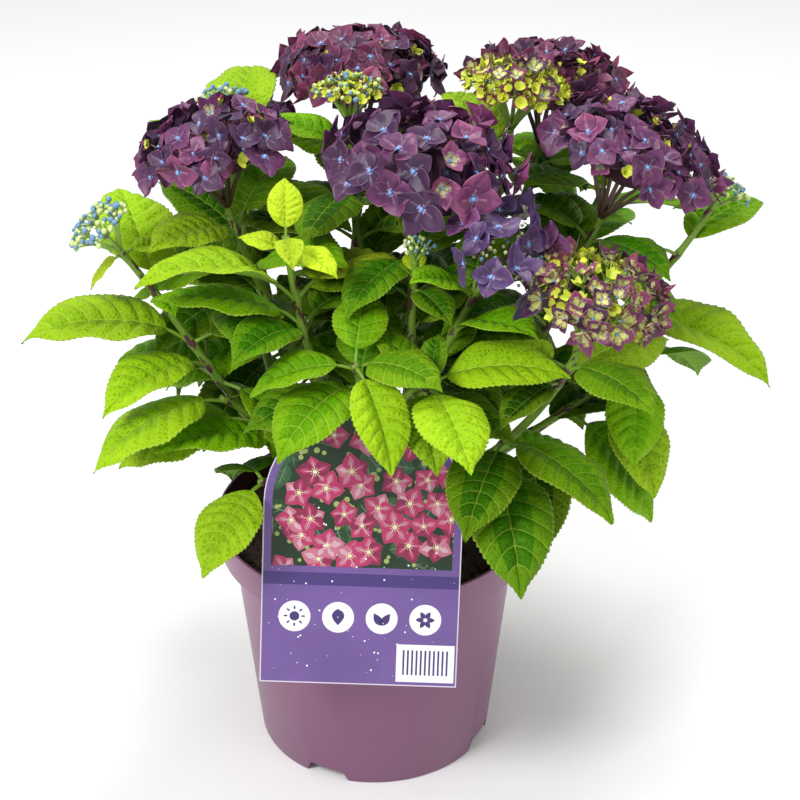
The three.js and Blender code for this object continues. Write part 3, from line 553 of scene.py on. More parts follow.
def blade_points(leaf, s, w, lift, teeth=0.0):
    """Points of a blade: s runs from its base to its tip and w from edge to edge. The midrib bends down in an
    arc, the halves fold up from it and their edges arch back down."""
    rise, droop = leaf["rise"], leaf["droop"]
    turn = droop / leaf["length"]
    bend = rise - droop * s
    along = (math.sin(rise) - np.sin(bend)) / turn
    high = (np.cos(bend) - math.cos(rise)) / turn
    base, tip, scale = LEAF_OUTLINE
    drawn_out = 1 - 0.3 * np.exp(-(((s - 0.93) / 0.07) ** 2))
    half = leaf["length"] * (LEAF_SLIM * scale * s**base * (1 - s) ** tip * drawn_out + teeth)
    out = half * w * math.cos(leaf["fold"])
    up = half * np.abs(w) * math.sin(leaf["fold"]) - LEAF_ARCH * half * w * w + lift
    c, n = math.cos(leaf["heading"]), math.sin(leaf["heading"])
    sideways = out * math.cos(leaf["roll"]) - up * math.sin(leaf["roll"])
    normal = out * math.sin(leaf["roll"]) + up * math.cos(leaf["roll"])
    flat = along - normal * np.sin(bend)
    return leaf["base"] + np.stack(
        [flat * c - sideways * n, flat * n + sideways * c, high + normal * np.cos(bend)], -1)


def grow_leaves(shoots):
    """The leaves of every shoot. Of the turns that the rule tries, a leaf takes the one whose tip the packed
    mass of foliage has, and where it has none the leaf is left out."""
    leaves = []
    for order, shoot in enumerate(shoots):
        packed = vectors(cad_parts["foliage_" + shoot["name"]].data.vertices, "co") / MM
        draw = seeded(7919 * (order + 1))
        rule = FLOWERING if shoot["head"] else LEAFY
        for i, pair in enumerate(shoot["pairs"]):
            for side, entry in enumerate(pair):
                draws = [next(draw) for _ in range(4)]
                heading, rise, size = entry if isinstance(entry, tuple) else (entry, rule[2][i], rule[1][i])
                full = shoot["leaf"] * size * (0.94 + 0.12 * draws[1])
                tries = [leaf_at(shoot, i, heading + swing, rise + dip, full * shrink, draws)
                         for shrink in (1, SECOND_TRY) for swing, dip in TURNS_TO_TRY]
                tips = np.array([blade_points(leaf, np.array(1.0), np.array(0.0), 0.0) for leaf in tries])
                miss = np.linalg.norm(tips[:, None] - packed[None], axis=-1).min(1)
                if miss.min() < TIP_MISS:
                    leaf = tries[int(miss.argmin())]
                    leaf.update(shoot=shoot["name"], tone=shoot["tones"].split()[i][side])
                    leaves.append(leaf)
    return leaves


# ---- Leaf blades ----

VEINS = (0.08, 0.18, 0.29, 0.40, 0.51, 0.63, 0.76)  # where side veins leave the midrib, along it
VEIN_HALF = 0.0032  # half a side vein's width, along the midrib
VEIN_LEAN = 0.75  # how far side veins run towards the tip
STEPS_BETWEEN = 5
COLUMNS = (0.25, 0.48, 0.72, 0.955, 1.0)  # beside the midrib, out to the edge
QUILT = 0.024  # height of the bulges between veins, over the leaf's length
TOOTH = 0.0078  # depth of the edge's teeth, over the leaf's length
TIP_CURL = 0.375  # how strongly the last quarter of the blade curls down
LEAF_KINDS = 4
BLADE, VEIN, UNDER, HEM = range(LEAF_KINDS)  # kinds of a leaf's faces


def leaf_rows():
    """Rows across the blade, each along a side vein's curve: where it leaves the midrib, how far it stands in
    the bulge between two veins, and the sign of its tooth."""
    rows, bulge, tooth = [0.004], [0.0], [0.0]
    ends = (0.004,) + VEINS + (0.985,)
    for k in range(len(ends) - 1):
        low, high = ends[k] + (VEIN_HALF if k else 0), ends[k + 1] - VEIN_HALF
        for i in range(1, STEPS_BETWEEN + 1):
            part = i / (STEPS_BETWEEN + 1)
            rows.append(low + (high - low) * part)
            bulge.append(math.sin(math.pi * part) ** 0.8)
            tooth.append(-1.0 if i % 2 else 1.0)
        if k < len(VEINS):
            rows += [high, high + 2 * VEIN_HALF]
            bulge += [0.0, 0.0]
            tooth += [0.9, 0.9]
    return np.array(rows + [0.994]), np.array(bulge + [0.0]), np.array(tooth + [0.0])


ROWS, BULGE, TOOTH_SIGN = leaf_rows()
W = np.array([-c for c in reversed(COLUMNS)] + [-0.06, 0.0, 0.06] + list(COLUMNS))
UNDER_COLUMNS = [1, 3, 5, 6, 7, 9, 11]  # columns of the upper side that the underside also has


def leaf_faces():
    """The faces and kinds of one leaf: an upper side, an underside that shares its long edges, and a fan that
    closes each short end."""
    rows, cols = len(ROWS), len(W)
    top = np.arange(rows * cols).reshape(rows, cols)
    low = np.full((rows, len(UNDER_COLUMNS) + 2), -1)
    low[:, 0], low[:, -1] = top[:, 0], top[:, -1]
    low[:, 1:-1] = rows * cols + np.arange(rows * len(UNDER_COLUMNS)).reshape(rows, -1)
    faces, kinds = [], []
    for sheet, kind, flip in ((top, BLADE, False), (low, UNDER, True)):
        a, b, c, d = sheet[:-1, :-1], sheet[:-1, 1:], sheet[1:, 1:], sheet[1:, :-1]
        cell = np.full(a.shape, kind)
        if kind == BLADE:
            vein_row = np.diff(ROWS) < 2.5 * VEIN_HALF
            cell[:, [1, 2, -3, -2]] = HEM
            cell[ROWS[1:] > 0.78] = HEM
            cell[vein_row, 1:-1] = VEIN
            cell[:, [0, 5, 6, -1]] = VEIN
        quads = np.stack([a, b, c, d], -1).reshape(-1, 4)
        pair = np.stack([quads[:, [0, 2, 1]], quads[:, [0, 3, 2]]], 1)
        pair = pair[:, :, ::-1] if flip else pair
        faces.append(pair.reshape(-1, 3))
        kinds.append(np.repeat(cell.ravel(), 2))
    for row in (0, rows - 1):
        ring = np.concatenate([top[row], low[row, -2:0:-1]])
        fan = np.stack([np.full(len(ring) - 2, ring[0]), ring[1:-1], ring[2:]], 1)
        faces.append(fan if row == 0 else fan[:, ::-1])
        kinds.append(np.full(len(fan), BLADE))
    return np.concatenate(faces), np.concatenate(kinds)


def leaf_mesh(leaf, rng):
    """One leaf's points. Side veins lean to the tip by VEIN_LEAN * t (1 - t) |w|^1.2, the blade bulges between
    them, and its edge waves and has forward-pointing teeth."""
    t, w = ROWS[:, None], W[None, :]
    size = np.abs(w)
    fade = np.clip(np.minimum(6 * t, 5 * (1 - t)), 0, 1)
    edge = (size > 0.99) * fade * TOOTH_SIGN[:, None]
    s = t + VEIN_LEAN * t * (1 - t) * size**1.2 + 0.007 * edge
    s = np.clip(s, 0.002, 0.996)
    base, tip, scale = LEAF_OUTLINE
    width = LEAF_SLIM * scale * s**base * (1 - s) ** tip
    rib = np.clip(0.0085 * (1 - 0.7 * t) / np.maximum(width, 1e-4), 0, 0.2) / 0.06
    w = np.where(size < 0.1, w * rib, w)
    swell = QUILT * BULGE[:, None] * (1 - np.exp(-size / 0.1)) * (1 - size**3) * fade
    groove = -0.006 * np.exp(-((size / 0.12) ** 2)) * fade
    phase = rng.uniform(0, 2 * np.pi, 2)
    sign = np.sign(w)
    wave = 0.016 * size**2 * np.sin(2 * np.pi * (2.2 + 0.5 * sign) * s + phase[0] + sign * phase[1])
    curl = -TIP_CURL * np.clip(s - 0.72, 0, 1) ** 2
    lift = (swell + groove + wave + curl) * leaf["length"]
    upper = blade_points(leaf, s, w, lift, TOOTH * edge)
    thick = np.array([0.25, 0.8, 0.95, 1.0, 0.95, 0.8, 0.25]) * 0.9 * np.clip(8 * t * (1 - t), 0.2, 1)
    under = blade_points(leaf, s[:, UNDER_COLUMNS], w[:, UNDER_COLUMNS], lift[:, UNDER_COLUMNS] - thick)
    return np.concatenate([upper.reshape(-1, 3), under.reshape(-1, 3)])


def petiole(leaf):
    """A leaf stalk: straight from the stem, then on under the blade, thick where it clasps the stem."""
    rib = blade_points(leaf, np.array([0.02, 0.08, 0.16]), np.zeros(3), np.array([-0.4, -0.7, -0.6]))
    along = np.array([0.0, 0.12, 0.4, 0.8])[:, None]
    line = np.concatenate([leaf["root"] + (leaf["base"] - leaf["root"]) * along, rib])
    slim = 0.55 + 0.45 * min(1.0, leaf["length"] / 80)
    return tube(line, np.array([2.5, 1.9, 1.4, 1.3, 1.1, 0.8, 0.35]) * slim, 7)


# ---- Stems ----

STEM_GREEN, STEM_FLECK, STEM_BARK = range(3)  # kinds of a stem's faces
RING_STEP = 1.9  # between a stem's rings


def stem_mesh(shoot, rng):
    """A stem from the stool to its tip: a tapering tube, swollen where leaves stand, with ridged bark low
    down. Some of its small faces are dark flecks."""
    count = max(30, int(shoot["span"] * STEM_SLACK / RING_STEP))
    t = np.linspace(0, 1, count)
    line = stem_points(shoot, t)
    radius = np.where(t < CANE_SHARE, CANE_RADIUS + (SHOOT_RADIUS - CANE_RADIUS) * t / CANE_SHARE,
                      SHOOT_RADIUS + (TIP_RADIUS - SHOOT_RADIUS) * (t - CANE_SHARE) / (1 - CANE_SHARE))
    for place in shoot["places"]:
        radius = radius * (1 + 0.28 * np.exp(-(((t - place) * shoot["span"] / 3.5) ** 2)))
    sides = 12
    a = around(sides)
    spot = np.stack(np.broadcast_arrays(t[:, None] * shoot["span"] / 14, 2 * np.cos(a), 2 * np.sin(a)), -1)
    rough = 0.03 + 0.09 * np.clip(1 - t / 0.45, 0, 1)
    relief = 1 + rough[:, None] * ripple(spot, 2.6, int(rng.integers(1e6)))
    points, faces = tube(line, radius, sides, relief)
    middle = points[faces].mean(1)
    ring = np.minimum(faces.min(1) // sides, count - 1)
    near = np.min([np.abs(t[ring] - place) * shoot["span"] for place in shoot["places"]], 0)
    way = normalised(shoot["tip"] - shoot["foot"])
    drawn_out = middle - np.outer(middle @ way, way) * 0.72
    blotch = ripple(drawn_out, 1.1, int(rng.integers(1e6)), 4)
    bark = blotch > -0.9 + 2.2 * t[ring] / CANE_SHARE
    fleck = blotch > 0.42 - 0.5 * np.exp(-near / 5)
    return points, faces, np.where(bark, STEM_BARK, np.where(fleck, STEM_FLECK, STEM_GREEN))


def stool_mesh():
    """The woody foot: a turned flare, waist and dome, with lumps and long ridges of bark."""
    s = STOOL
    polar = np.radians(np.linspace(84, 6, 14))
    dome = np.stack([s["dome"] * np.sin(polar), s["centre"] + s["dome"] * np.cos(polar)], 1)
    foot = SOIL_LEVEL - 1.5
    low = [[0, foot], [s["flare"], foot], [s["flare"] - 1, foot + 2], [s["waist"] + 2, foot + 5],
           [s["waist"] + 0.5, s["centre"] - 4]]
    profile = np.concatenate([low, dome, [[0, s["centre"] + s["dome"]]]])

    def barky(rings):
        """Rings moved in by the hollows between the lumps and ridges."""
        lumps = ripple(rings, 0.16, 5) * 1.1 + ripple(rings * [1, 1, 0.25], 0.9, 6) * 0.5
        inward = normalised(rings * [1, 1, 0.3] - UP * 0.3 * s["centre"])
        return rings - inward * (0.9 - lumps)[..., None].clip(0, 3)

    return lathe(profile, 64, barky)


# ---- Flower heads ----


def dome_places(shoot, count, squeeze=1.0):
    """Places on a dome about the head's axis, evenly spread along a golden-angle spiral."""
    kind, radius = shoot["head"]
    dome, spread = HEAD_SHAPES[kind]
    axis = shoot["axis"]
    side, other = beside_axis(axis)
    low = 1 - math.cos(math.radians(spread))
    i = np.arange(count)
    up = 1 - low * (i + 0.5) / count
    round_ = np.sqrt(1 - up * up)
    a = i * GOLDEN
    facing = (side * (round_ * np.cos(a))[:, None] + other * (round_ * np.sin(a))[:, None] + axis * up[:, None])
    reach = radius * squeeze
    place = shoot["top"] + facing * reach + axis * ((dome - 1) * up * reach)[:, None]
    return place, facing


FULL_TONES = ("wine", "mauve")  # heads of these have a second, deeper layer and a dark ball of painted shade inside
GAPS = 0.05  # share of the florets that are missing from an open head
# The grid of a sepal: places along it, and places across its half width.
P = np.array([0.02, 0.14, 0.3, 0.46, 0.62, 0.78, 0.92, 1.0])
Q = np.array([-1, -0.9, -0.42, -0.09, 0.09, 0.42, 0.9, 1.0])
SEPAL_FACES = grid_faces(len(P), len(Q))
# Kinds of a sepal's faces. The first three have three tones each.
BODY, STREAK, SHADED_INNER, THROAT, CREAM, PALE, NEW, LIME, BLUSH = 0, 3, 6, 9, 10, 11, 12, 13, 14
EYE, GREEN_EYE, BLUE_BUD, GREEN_BUD = range(4)  # kinds of beads and round buds
RAY_GREEN, STALK_PALE, STALK_FLUSHED, RAY_DARK = range(4)  # kinds of rays and stalks


def sepals(place, facing, radius, turn, rng, slim, cup, reach):
    """The four sepals of one floret as grids: broad, pointed lozenges whose half width is
    slim 2.9 p^0.75 (1 - p)^0.8 (1 - 0.25 p^6). They rise by cup p^1.3, both halves are pillows beside the
    midrib, their edges turn up or back, and every second one stands a little higher."""
    side, other = across(facing)
    p, q = P[:, None], Q[None, :]
    half = slim * 2.9 * p**0.75 * (1.0005 - p) ** 0.8 * (1 - 0.25 * p**6)
    grids = []
    for k in range(4):
        a = turn + k * np.pi / 2 + rng.normal(0, 0.09)
        size = radius * rng.uniform(0.86, 1.1)
        out = side * math.cos(a) + other * math.sin(a)
        beside = np.cross(facing, out)
        tilt, trough, tip = rng.normal(0, 0.13), rng.uniform(-0.6, 1.25), rng.normal(0, 0.14)
        u = size * reach * p * (1 - 0.42 * np.abs(q) * (1 - p)) + 0.03 * radius
        v = size * half * q
        h = cup * p**1.3 + trough * (half * q) ** 2 + 0.035 * np.sin(5 * q + 5 * p + tip * 30) * p + tip * p**4
        h = h + 0.06 * np.sin(np.pi * np.abs(q)) * np.sin(np.pi * p) ** 0.7
        h = size * (h + tilt * half * q + 0.05 * (k % 2))
        grids.append(place + u[..., None] * out + v[..., None] * beside + h[..., None] * facing)
    return grids


def plain_kinds(tone):
    """A sepal of one tone with a lighter hem."""
    kind = np.full((len(P) - 1, len(Q) - 1), BODY + tone)
    kind[:, [0, -1]] = STREAK + tone
    return kind


def open_kinds(tone):
    """An open sepal: its tone, bluer and darker towards a pale throat with one ray, and a lighter hem. The bluer tint
    is the floret's own colour; the darkening is painted shade where the sepals meet.
    """
    kind = plain_kinds(tone)
    # The inner zone: bluer, and darker with painted shade near the floret's middle.
    kind[:3, 1:6] = SHADED_INNER + tone
    kind[3, 2:5] = SHADED_INNER + tone
    kind[0, 2:5] = THROAT
    kind[1:3, 3] = STREAK + tone
    return np.repeat(kind.ravel(), 2)


def half_open_kinds(tone, rows):
    """A sepal that is coloured at its tip and fades to cream in the given rows at its base."""
    kind = plain_kinds(tone)
    kind[:rows, 1:6] = PALE
    kind[rows, 2:5] = PALE
    kind[:rows, 2:5] = CREAM
    kind[rows, 3] = CREAM
    return np.repeat(kind.ravel(), 2)


def new_kinds(flushed):
    """A young green sepal, flushed at its tip and edges where flushed is above 0."""
    kind = np.full((len(P) - 1, len(Q) - 1), NEW)
    kind[2:5, 2:5] = LIME
    kind[len(kind) - flushed:] = BLUSH
    if flushed > 1:
        kind[3:, [0, -1]] = BLUSH
    return np.repeat(kind.ravel(), 2)


def branches(shoot, place, sheaf, rng, kinds):
    """The rays that fork from a stem's tip and carry its florets' stalks."""
    kind, radius = shoot["head"]
    axis = shoot["axis"]
    side, other = beside_axis(axis)
    dome = HEAD_SHAPES[kind][0]
    middle = shoot["top"] + axis * (0.2 * dome * radius)
    ends = []
    for a in around(6):
        a = a + rng.normal(0, 0.1)
        ends.append(middle + (side * math.cos(a) + other * math.sin(a)) * 0.5 * radius - axis * 0.12 * radius)
    ends.append(middle + axis * 0.15 * radius)
    thick = 0.75 + 0.25 * min(1, radius / 50)
    for end in ends:
        bow = (shoot["tip"] + end) / 2 + axis * rng.uniform(-0.04, 0.04) * radius
        line = np.array([shoot["tip"] - axis, (shoot["tip"] + bow) / 2, bow, end])
        sheaf.add(*tube(line, np.array([2.2, 1.7, 1.5, 1.2]) * thick, 6), kinds[0])
    for p in place:
        end = min(ends, key=lambda e: float(np.linalg.norm(p - e)))
        mid = (end + p) / 2 + axis * 0.03 * radius
        sheaf.add(*tube(np.array([end, mid, p]), np.array([0.9, 0.65, 0.5]) * thick, 4), kinds[1])


def head_florets(shoot, florets, beads, stalks, rng):
    """One flower head: its florets on the dome, each with four sepals and a bead, and its stalks. Florets low
    on the head are the largest, and those that are still young stand deeper in it."""
    tone, count, size, young_share, half_share = HEADS[shoot["name"]]
    place, facing = dome_places(shoot, count)
    radius = shoot["head"][1]
    opening = tone == "young"
    if tone in FULL_TONES:
        deeper, deep_facing = dome_places(shoot, int(0.7 * count), 0.84)
        place, facing = np.concatenate([place, deeper]), np.concatenate([facing, deep_facing])
    outer, count = count, len(place)
    wobble = normalised(facing + rng.normal(0, 0.27, facing.shape))
    draw = rng.random(count)
    low = 1 - facing @ shoot["axis"]
    spots = place - wobble * 0.1 * size
    for i in range(count):
        young, half = draw[i] < young_share, draw[i] > 1 - half_share
        if 0.5 < draw[i] < 0.5 + GAPS and not opening:
            continue
        r = size * rng.uniform(0.84, 1.14) * (0.86 + 0.34 * min(low[i], 1)) * (1 if i < outer else 0.8)
        shade_of = int(rng.choice([0, 0, 1, 1, 1, 2]))
        if young:
            r = r * (0.8 if opening else 0.55)
            spots[i] = spots[i] - facing[i] * rng.uniform(0.02, 0.12) * radius
            form, kinds = (0.38, rng.uniform(0.5, 1.1), 0.74), new_kinds(int(rng.choice([0, 1, 2, 3, 3])))
        elif half:
            form, kinds = (0.42, rng.uniform(0.45, 0.95), 0.86), half_open_kinds(shade_of, 3 if opening else 2)
            r = r * (1.25 if opening else 0.85)
        else:
            form, kinds = (rng.uniform(0.48, 0.56), rng.uniform(0.04, 0.42), 0.98), open_kinds(shade_of)
        spots[i] = spots[i] + facing[i] * rng.normal(0, 0.035) * radius
        turn = rng.uniform(0, np.pi / 2)
        for grid in sepals(spots[i], wobble[i], r, turn, rng, *form):
            florets.add(grid, SEPAL_FACES, kinds)
        beads.add(*bead(spots[i] + wobble[i] * 0.07 * r, 0.08 * r + 0.3), GREEN_EYE if young else EYE)
    if tone == "violet":
        inner, _ = dome_places(shoot, 90, 0.72)
        for p in inner + rng.normal(0, 1.2, inner.shape):
            beads.add(*bead(p, rng.uniform(1.0, 1.7)), int(rng.integers(BLUE_BUD, GREEN_BUD + 1)))
    branches(shoot, spots - facing * 0.08 * size, stalks, rng,
             (RAY_GREEN, STALK_PALE) if opening else (RAY_DARK, STALK_FLUSHED))


def core_mesh(shoot):
    """Painted shade inside a full head: a dark, lumpy flat ball under its florets."""
    kind, radius = shoot["head"]
    axis = shoot["axis"]
    basis = np.stack([*beside_axis(axis), axis])
    points, faces = bead(np.zeros(3), 1.0, 16, 10)
    points = points * [0.66 * radius, 0.66 * radius, 0.3 * radius * HEAD_SHAPES[kind][0] / 0.64]
    points = points * (1 + 0.12 * ripple(points, 0.2, 9))[:, None]
    return points @ basis + shoot["top"] + axis * 0.08 * radius, faces


# ---- Plastic shapes ----

# The notches in the foot: the first one's heading in degrees and their sizes, and the ring of drain holes.
NOTCH = {"turn": -114, "half": 17.0, "height": 9.5, "slant": 4.0, "depth": 12.0}
DRAIN = {"ring": 50.0, "radius": 4.5}


def cut(piece, cutters):
    """Takes closed cutters from a piece, applies the result and removes them."""
    for cutter in cutters:
        modifier = piece.modifiers.new("cut", "BOOLEAN")
        modifier.object = cutter
        modifier.operation = "DIFFERENCE"
        modifier.solver = "EXACT"
    graph = bpy.context.evaluated_depsgraph_get()
    graph.update()
    result = bpy.data.meshes.new_from_object(piece.evaluated_get(graph))
    piece.modifiers.clear()
    piece.data = result
    for cutter in cutters:
        bpy.data.objects.remove(cutter)


def loose(name, points, faces):
    """A closed mesh object for cutting with, in metres."""
    mesh = bpy.data.meshes.new(name)
    mesh.from_pydata((np.asarray(points) * MM).tolist(), [], np.asarray(faces).tolist())
    mesh.update()
    return linked(name, mesh)


def turned(points, degrees):
    """Points turned about the upright axis."""
    a = math.radians(degrees)
    return np.asarray(points) @ np.array([[math.cos(a), math.sin(a), 0], [-math.sin(a), math.cos(a), 0], [0, 0, 1]])


def slab(outline, low, high):
    """A thin closed slab with a star-shaped outline: fans from its middle above and below, and a wall."""
    outline = np.asarray(outline, float)
    middle = outline.mean(0)
    rings = np.stack([np.column_stack([outline, np.full(len(outline), z)]) for z in (low, high)])
    return closed(rings, [*middle, low], [*middle, high])


def disc(x, y, radius, sides=40):
    """A round outline about a middle."""
    a = around(sides)
    return np.column_stack([x + radius * np.cos(a), y + radius * np.sin(a)])


def box_outline(x, y, width, height):
    """An upright rectangle about a middle."""
    return np.array([x, y]) + np.array([[1, 1], [-1, 1], [-1, -1], [1, -1]]) * [width / 2, height / 2]


def petal_outline(x, y, size, turn, slim):
    """A rounded petal or leaf from a point, along a heading: half width is slim * sin(pi p)."""
    p = np.linspace(0, 1, 9)
    side = slim * np.sin(np.pi * p**0.8)
    loop = np.concatenate([np.column_stack([p, side]), np.column_stack([p[-2:0:-1], -side[-2:0:-1]])]) * size
    c, s = math.cos(turn), math.sin(turn)
    return loop @ np.array([[c, s], [-s, c]]) + [x, y]


def outward(points, faces):
    """Faces that all point out of a closed shape, turned round where its signed volume is negative."""
    corner = np.asarray(points)[faces]
    volume = np.einsum("ij,ij->i", corner[:, 0], np.cross(corner[:, 1], corner[:, 2])).sum()
    return faces if volume > 0 else faces[:, ::-1]


# ---- Pot ----

LIP, LIP_TURNS = 0.8, np.linspace(0, 90, 5)  # radius of the soft lip, and the degrees at its corners
POT_SIDES = 128


def make_pot(sizes):
    """The moulded pot: a turned wall with a collar and a soft lip, hollow, notched at the foot and drained, with
    painted shade inside.
    """
    height, rim, collar = sizes.height / MM, sizes.rim_radius / MM, sizes.collar_radius / MM
    wall_top, foot, wall = sizes.wall_radius / MM, sizes.foot_radius / MM, sizes.wall / MM
    step = height - sizes.collar_height / MM
    outer = [[0, 0], [foot - 1.5, 0], [foot - 0.5, 0.4], [foot, 1.5], [wall_top - 0.5, step - 1.0],
             [wall_top + 0.1, step - 0.5], [collar - 0.7, step], [collar - 0.15, step + 0.25], [collar, step + 0.8]]
    outer += [[rim - LIP + LIP * math.cos(a), height - LIP + LIP * math.sin(a)] for a in np.radians(LIP_TURNS)]
    outer += [[0, height]]
    floor = sizes.floor / MM
    base, top = foot - wall + (wall_top - foot) * floor / step, wall_top - wall
    inner = [[0, floor], [base - 2, floor], [base, floor + 1.5], [top, step + wall], [collar - wall, step + wall + 1],
             [rim - wall, height], [rim - wall, height + 5], [0, height + 5]]
    pot = loose("pot_shell", *lathe(outer, POT_SIDES))
    hollow = loose("pot_hollow", *lathe(inner, POT_SIDES))
    cut(hollow, [loose("grown", *notch_at(wall, foot, i)) for i in range(4)])
    drains = [loose("drain", *drain_at(i)) for i in range(4)]
    cut(pot, [hollow] + [loose("notch", *notch_at(0, foot, i)) for i in range(4)] + drains)
    mesh = pot.data
    mesh.name = "pot_shell"
    centres, normals = vectors(mesh.polygons, "center"), vectors(mesh.polygons, "normal")
    # Faces on the inner wall and the inner floor get the darker inside colour: painted shade.
    inward = (normals[:, :2] * centres[:, :2]).sum(1) < -0.2 * np.linalg.norm(centres[:, :2], axis=1)
    low = (centres[:, 2] > 0.9 * sizes.floor) & (np.hypot(centres[:, 0], centres[:, 1]) < base * MM)
    mesh.materials.clear()
    mesh.materials.append(material("pot_plastic", sizes.plastic, 0.38, 0.04, 2600, 0.12, 0.0001, 18,
                                   Specular_IOR_Level=0.5, Coat_Weight=0.12, Coat_Roughness=0.3))
    mesh.materials.append(material("pot_inside", sizes.inside, 0.5, 0.1, 2600, 0.12, 0.0001, 18))
    mesh.polygons.foreach_set("material_index", (inward | low).astype(np.int32))
    mesh.polygons.foreach_set("use_smooth", np.ones(len(mesh.polygons), bool))
    mesh.set_sharp_from_angle(angle=math.radians(28))
    settle(pot, ["pot"])


def notch_at(grow, foot, i):
    """The cutter of one of the four notches in the foot, which has slanting ends and reaches in from outside.
    grow is how much larger it is on every side."""
    half, top, slant = NOTCH["half"] + grow, NOTCH["height"] + grow, NOTCH["slant"]
    outline = np.array([[-half, -5], [half, -5], [half, 0], [half - slant, top], [slant - half, top], [-half, 0]])
    points, faces = bar(outline, foot - NOTCH["depth"] - grow, foot + 10)
    return turned(points, NOTCH["turn"] + 90 * i), outward(points, faces)


def drain_at(i):
    """The cutter of one of the four drain holes, on their ring in the floor."""
    points, faces = lathe([[0, -4], [DRAIN["radius"], -4], [DRAIN["radius"], 8], [0, 8]], 32)
    return turned(points + [DRAIN["ring"], 0, 0], 90 * i), faces


# ---- Compost ----

CHIPS, FIBRES = 420, 150  # counts of the loose chips of bark and of the fibres
PEAT, DARK_PEAT, BARK_FIBRE = range(3)  # kinds of the compost's faces


def make_soil(sizes):
    """The compost: a lumpy disc that fills the pot, with chips of bark and loose fibres on it."""
    rng = np.random.default_rng(41)
    step = (sizes.height - sizes.collar_height) / MM
    edge = sizes.collar_radius / MM - sizes.wall / MM - 0.2
    radii = edge * np.linspace(0.02, 1, 90)
    segments = 260
    place = hoops(radii, 0 * radii, segments)
    x, y = place[..., 0], place[..., 1]
    lumps = 2.2 * ripple(place, 0.16, 3) + 1.5 * np.abs(ripple(place, 0.7, 4)) + 0.8 * ripple(place, 1.7, 8, 2)
    sag = -2.0 * (radii[:, None] / edge) ** 3
    lift = np.clip(SOIL_LEVEL - 1.0 + sag + lumps, SOIL_LEVEL - 7, SOIL_LEVEL + 3)
    lift[-1] = SOIL_LEVEL - 3
    by_foot = np.hypot(x, y) < STOOL["flare"] + 4
    lift[by_foot] = np.minimum(lift[by_foot], SOIL_LEVEL - 0.6)
    rings = np.stack([x, y, lift], -1)[::-1]
    wall = [[sizes.foot_radius / MM - 4, SOIL_FOOT], [sizes.wall_radius / MM - 2.4, step + 1.5], [edge, step + 3.5]]
    low = hoops(*np.transpose(wall), segments)
    points, faces = closed(np.concatenate([low, rings]), UP * SOIL_FOOT, UP * (SOIL_LEVEL - 1))
    heap = Sheaf()
    heap.add(points, faces, np.where(rng.random(len(faces)) < 0.05, DARK_PEAT, PEAT))
    for _ in range(CHIPS):
        r, t = edge * math.sqrt(rng.uniform(0.12, 0.97)), rng.uniform(0, 2 * np.pi)
        chip, chip_faces = bead(np.zeros(3), 1.0, 7, 5)
        chip = chip * rng.uniform(0.6, 1.0, 3) * rng.uniform(0.8, 3.2) * [1.5, 0.8, 0.45]
        c, s = math.cos(t * 7), math.sin(t * 7)
        chip = chip @ np.array([[c, s, 0], [-s, c, 0], [0, 0, 1]]) * (1 + 0.2 * rng.normal(size=(len(chip), 1)))
        spot = [r * math.cos(t), r * math.sin(t), SOIL_LEVEL + 0.2 - 2 * (r / edge) ** 3]
        heap.add(chip + spot, chip_faces, int(rng.choice([PEAT, PEAT, DARK_PEAT, BARK_FIBRE])))
    for _ in range(FIBRES):
        r, t = (edge - 4) * math.sqrt(rng.uniform(0.12, 0.9)), rng.uniform(0, 2 * np.pi)
        way, size = rng.uniform(0, np.pi), rng.uniform(3, 9)
        along = np.linspace(-1, 1, 5)[:, None] * size / 2 * np.array([[math.cos(way), math.sin(way), 0]])
        lift = SOIL_LEVEL + 1.4 - 2 * (r / edge) ** 3
        line = along + [r * math.cos(t), r * math.sin(t), lift] + rng.normal(0, 0.35, (5, 3))
        heap.add(*tube(line, [0.15, 0.3, 0.32, 0.28, 0.12], 4), BARK_FIBRE)
    finishes = [material("compost", sizes.soil, 0.95, 0.6, 700, 0.8, 0.0012, 160),
                material("dark_peat", shade(sizes.soil, 0.4), 0.95, 0.5, 700, 0.8, 0.0012, 160),
                material("bark_fibre", sizes.fibre, 0.85, 0.4, 900, 0.5, 0.0006, 200)]
    heap.piece("compost", finishes, "soil", ["soil"])


# ---- Card label ----

CARD_LEAN, CARD_ROLL = 18, -2  # how far the card leans back and rolls, in degrees
CARD_SIDE, CARD_BELOW = -8.0, 60.0  # its middle along X, and how far it reaches below the lip
PRINT_STEP = 0.008  # between the levels of the print
WINDOW_MARGIN, WINDOW_FOOT = 6.0, 84.0  # the printed window's distance from the card's edge, and its lower edge
BAND_HEIGHT, SIGN_HEIGHT = 75, 48.0  # heights of the plain band's middle and of the discs with signs
# The tongue behind the card, which hangs over the lip and down inside the wall.
TONGUE = {"width": 30.0, "inset": 6.6, "thick": 1.4, "drop": 12.0, "lift": 1.0}
(GROUND, BAND, FIELD, LEAF_PRINT, LEAF_DARK, LEAF_LIGHT, PETAL, PETAL_DEEP, PETAL_LIGHT, PETAL_PALE, EYE_PRINT,
 BUD_PRINT, PAPER, INK, EDGE) = range(15)  # kinds of the card's faces, in the order of its finishes
LEAF_LEVEL, BUD_LEVEL, FLOWER_LEVEL, SPECK_LEVEL = 2, 14, 15, 45  # the print's levels, the specks over all


def card_front(pot):
    """Where the card's back touches the front of the pot's lip, along Y."""
    return -pot.rim_radius / MM - FIT / math.cos(math.radians(CARD_LEAN))


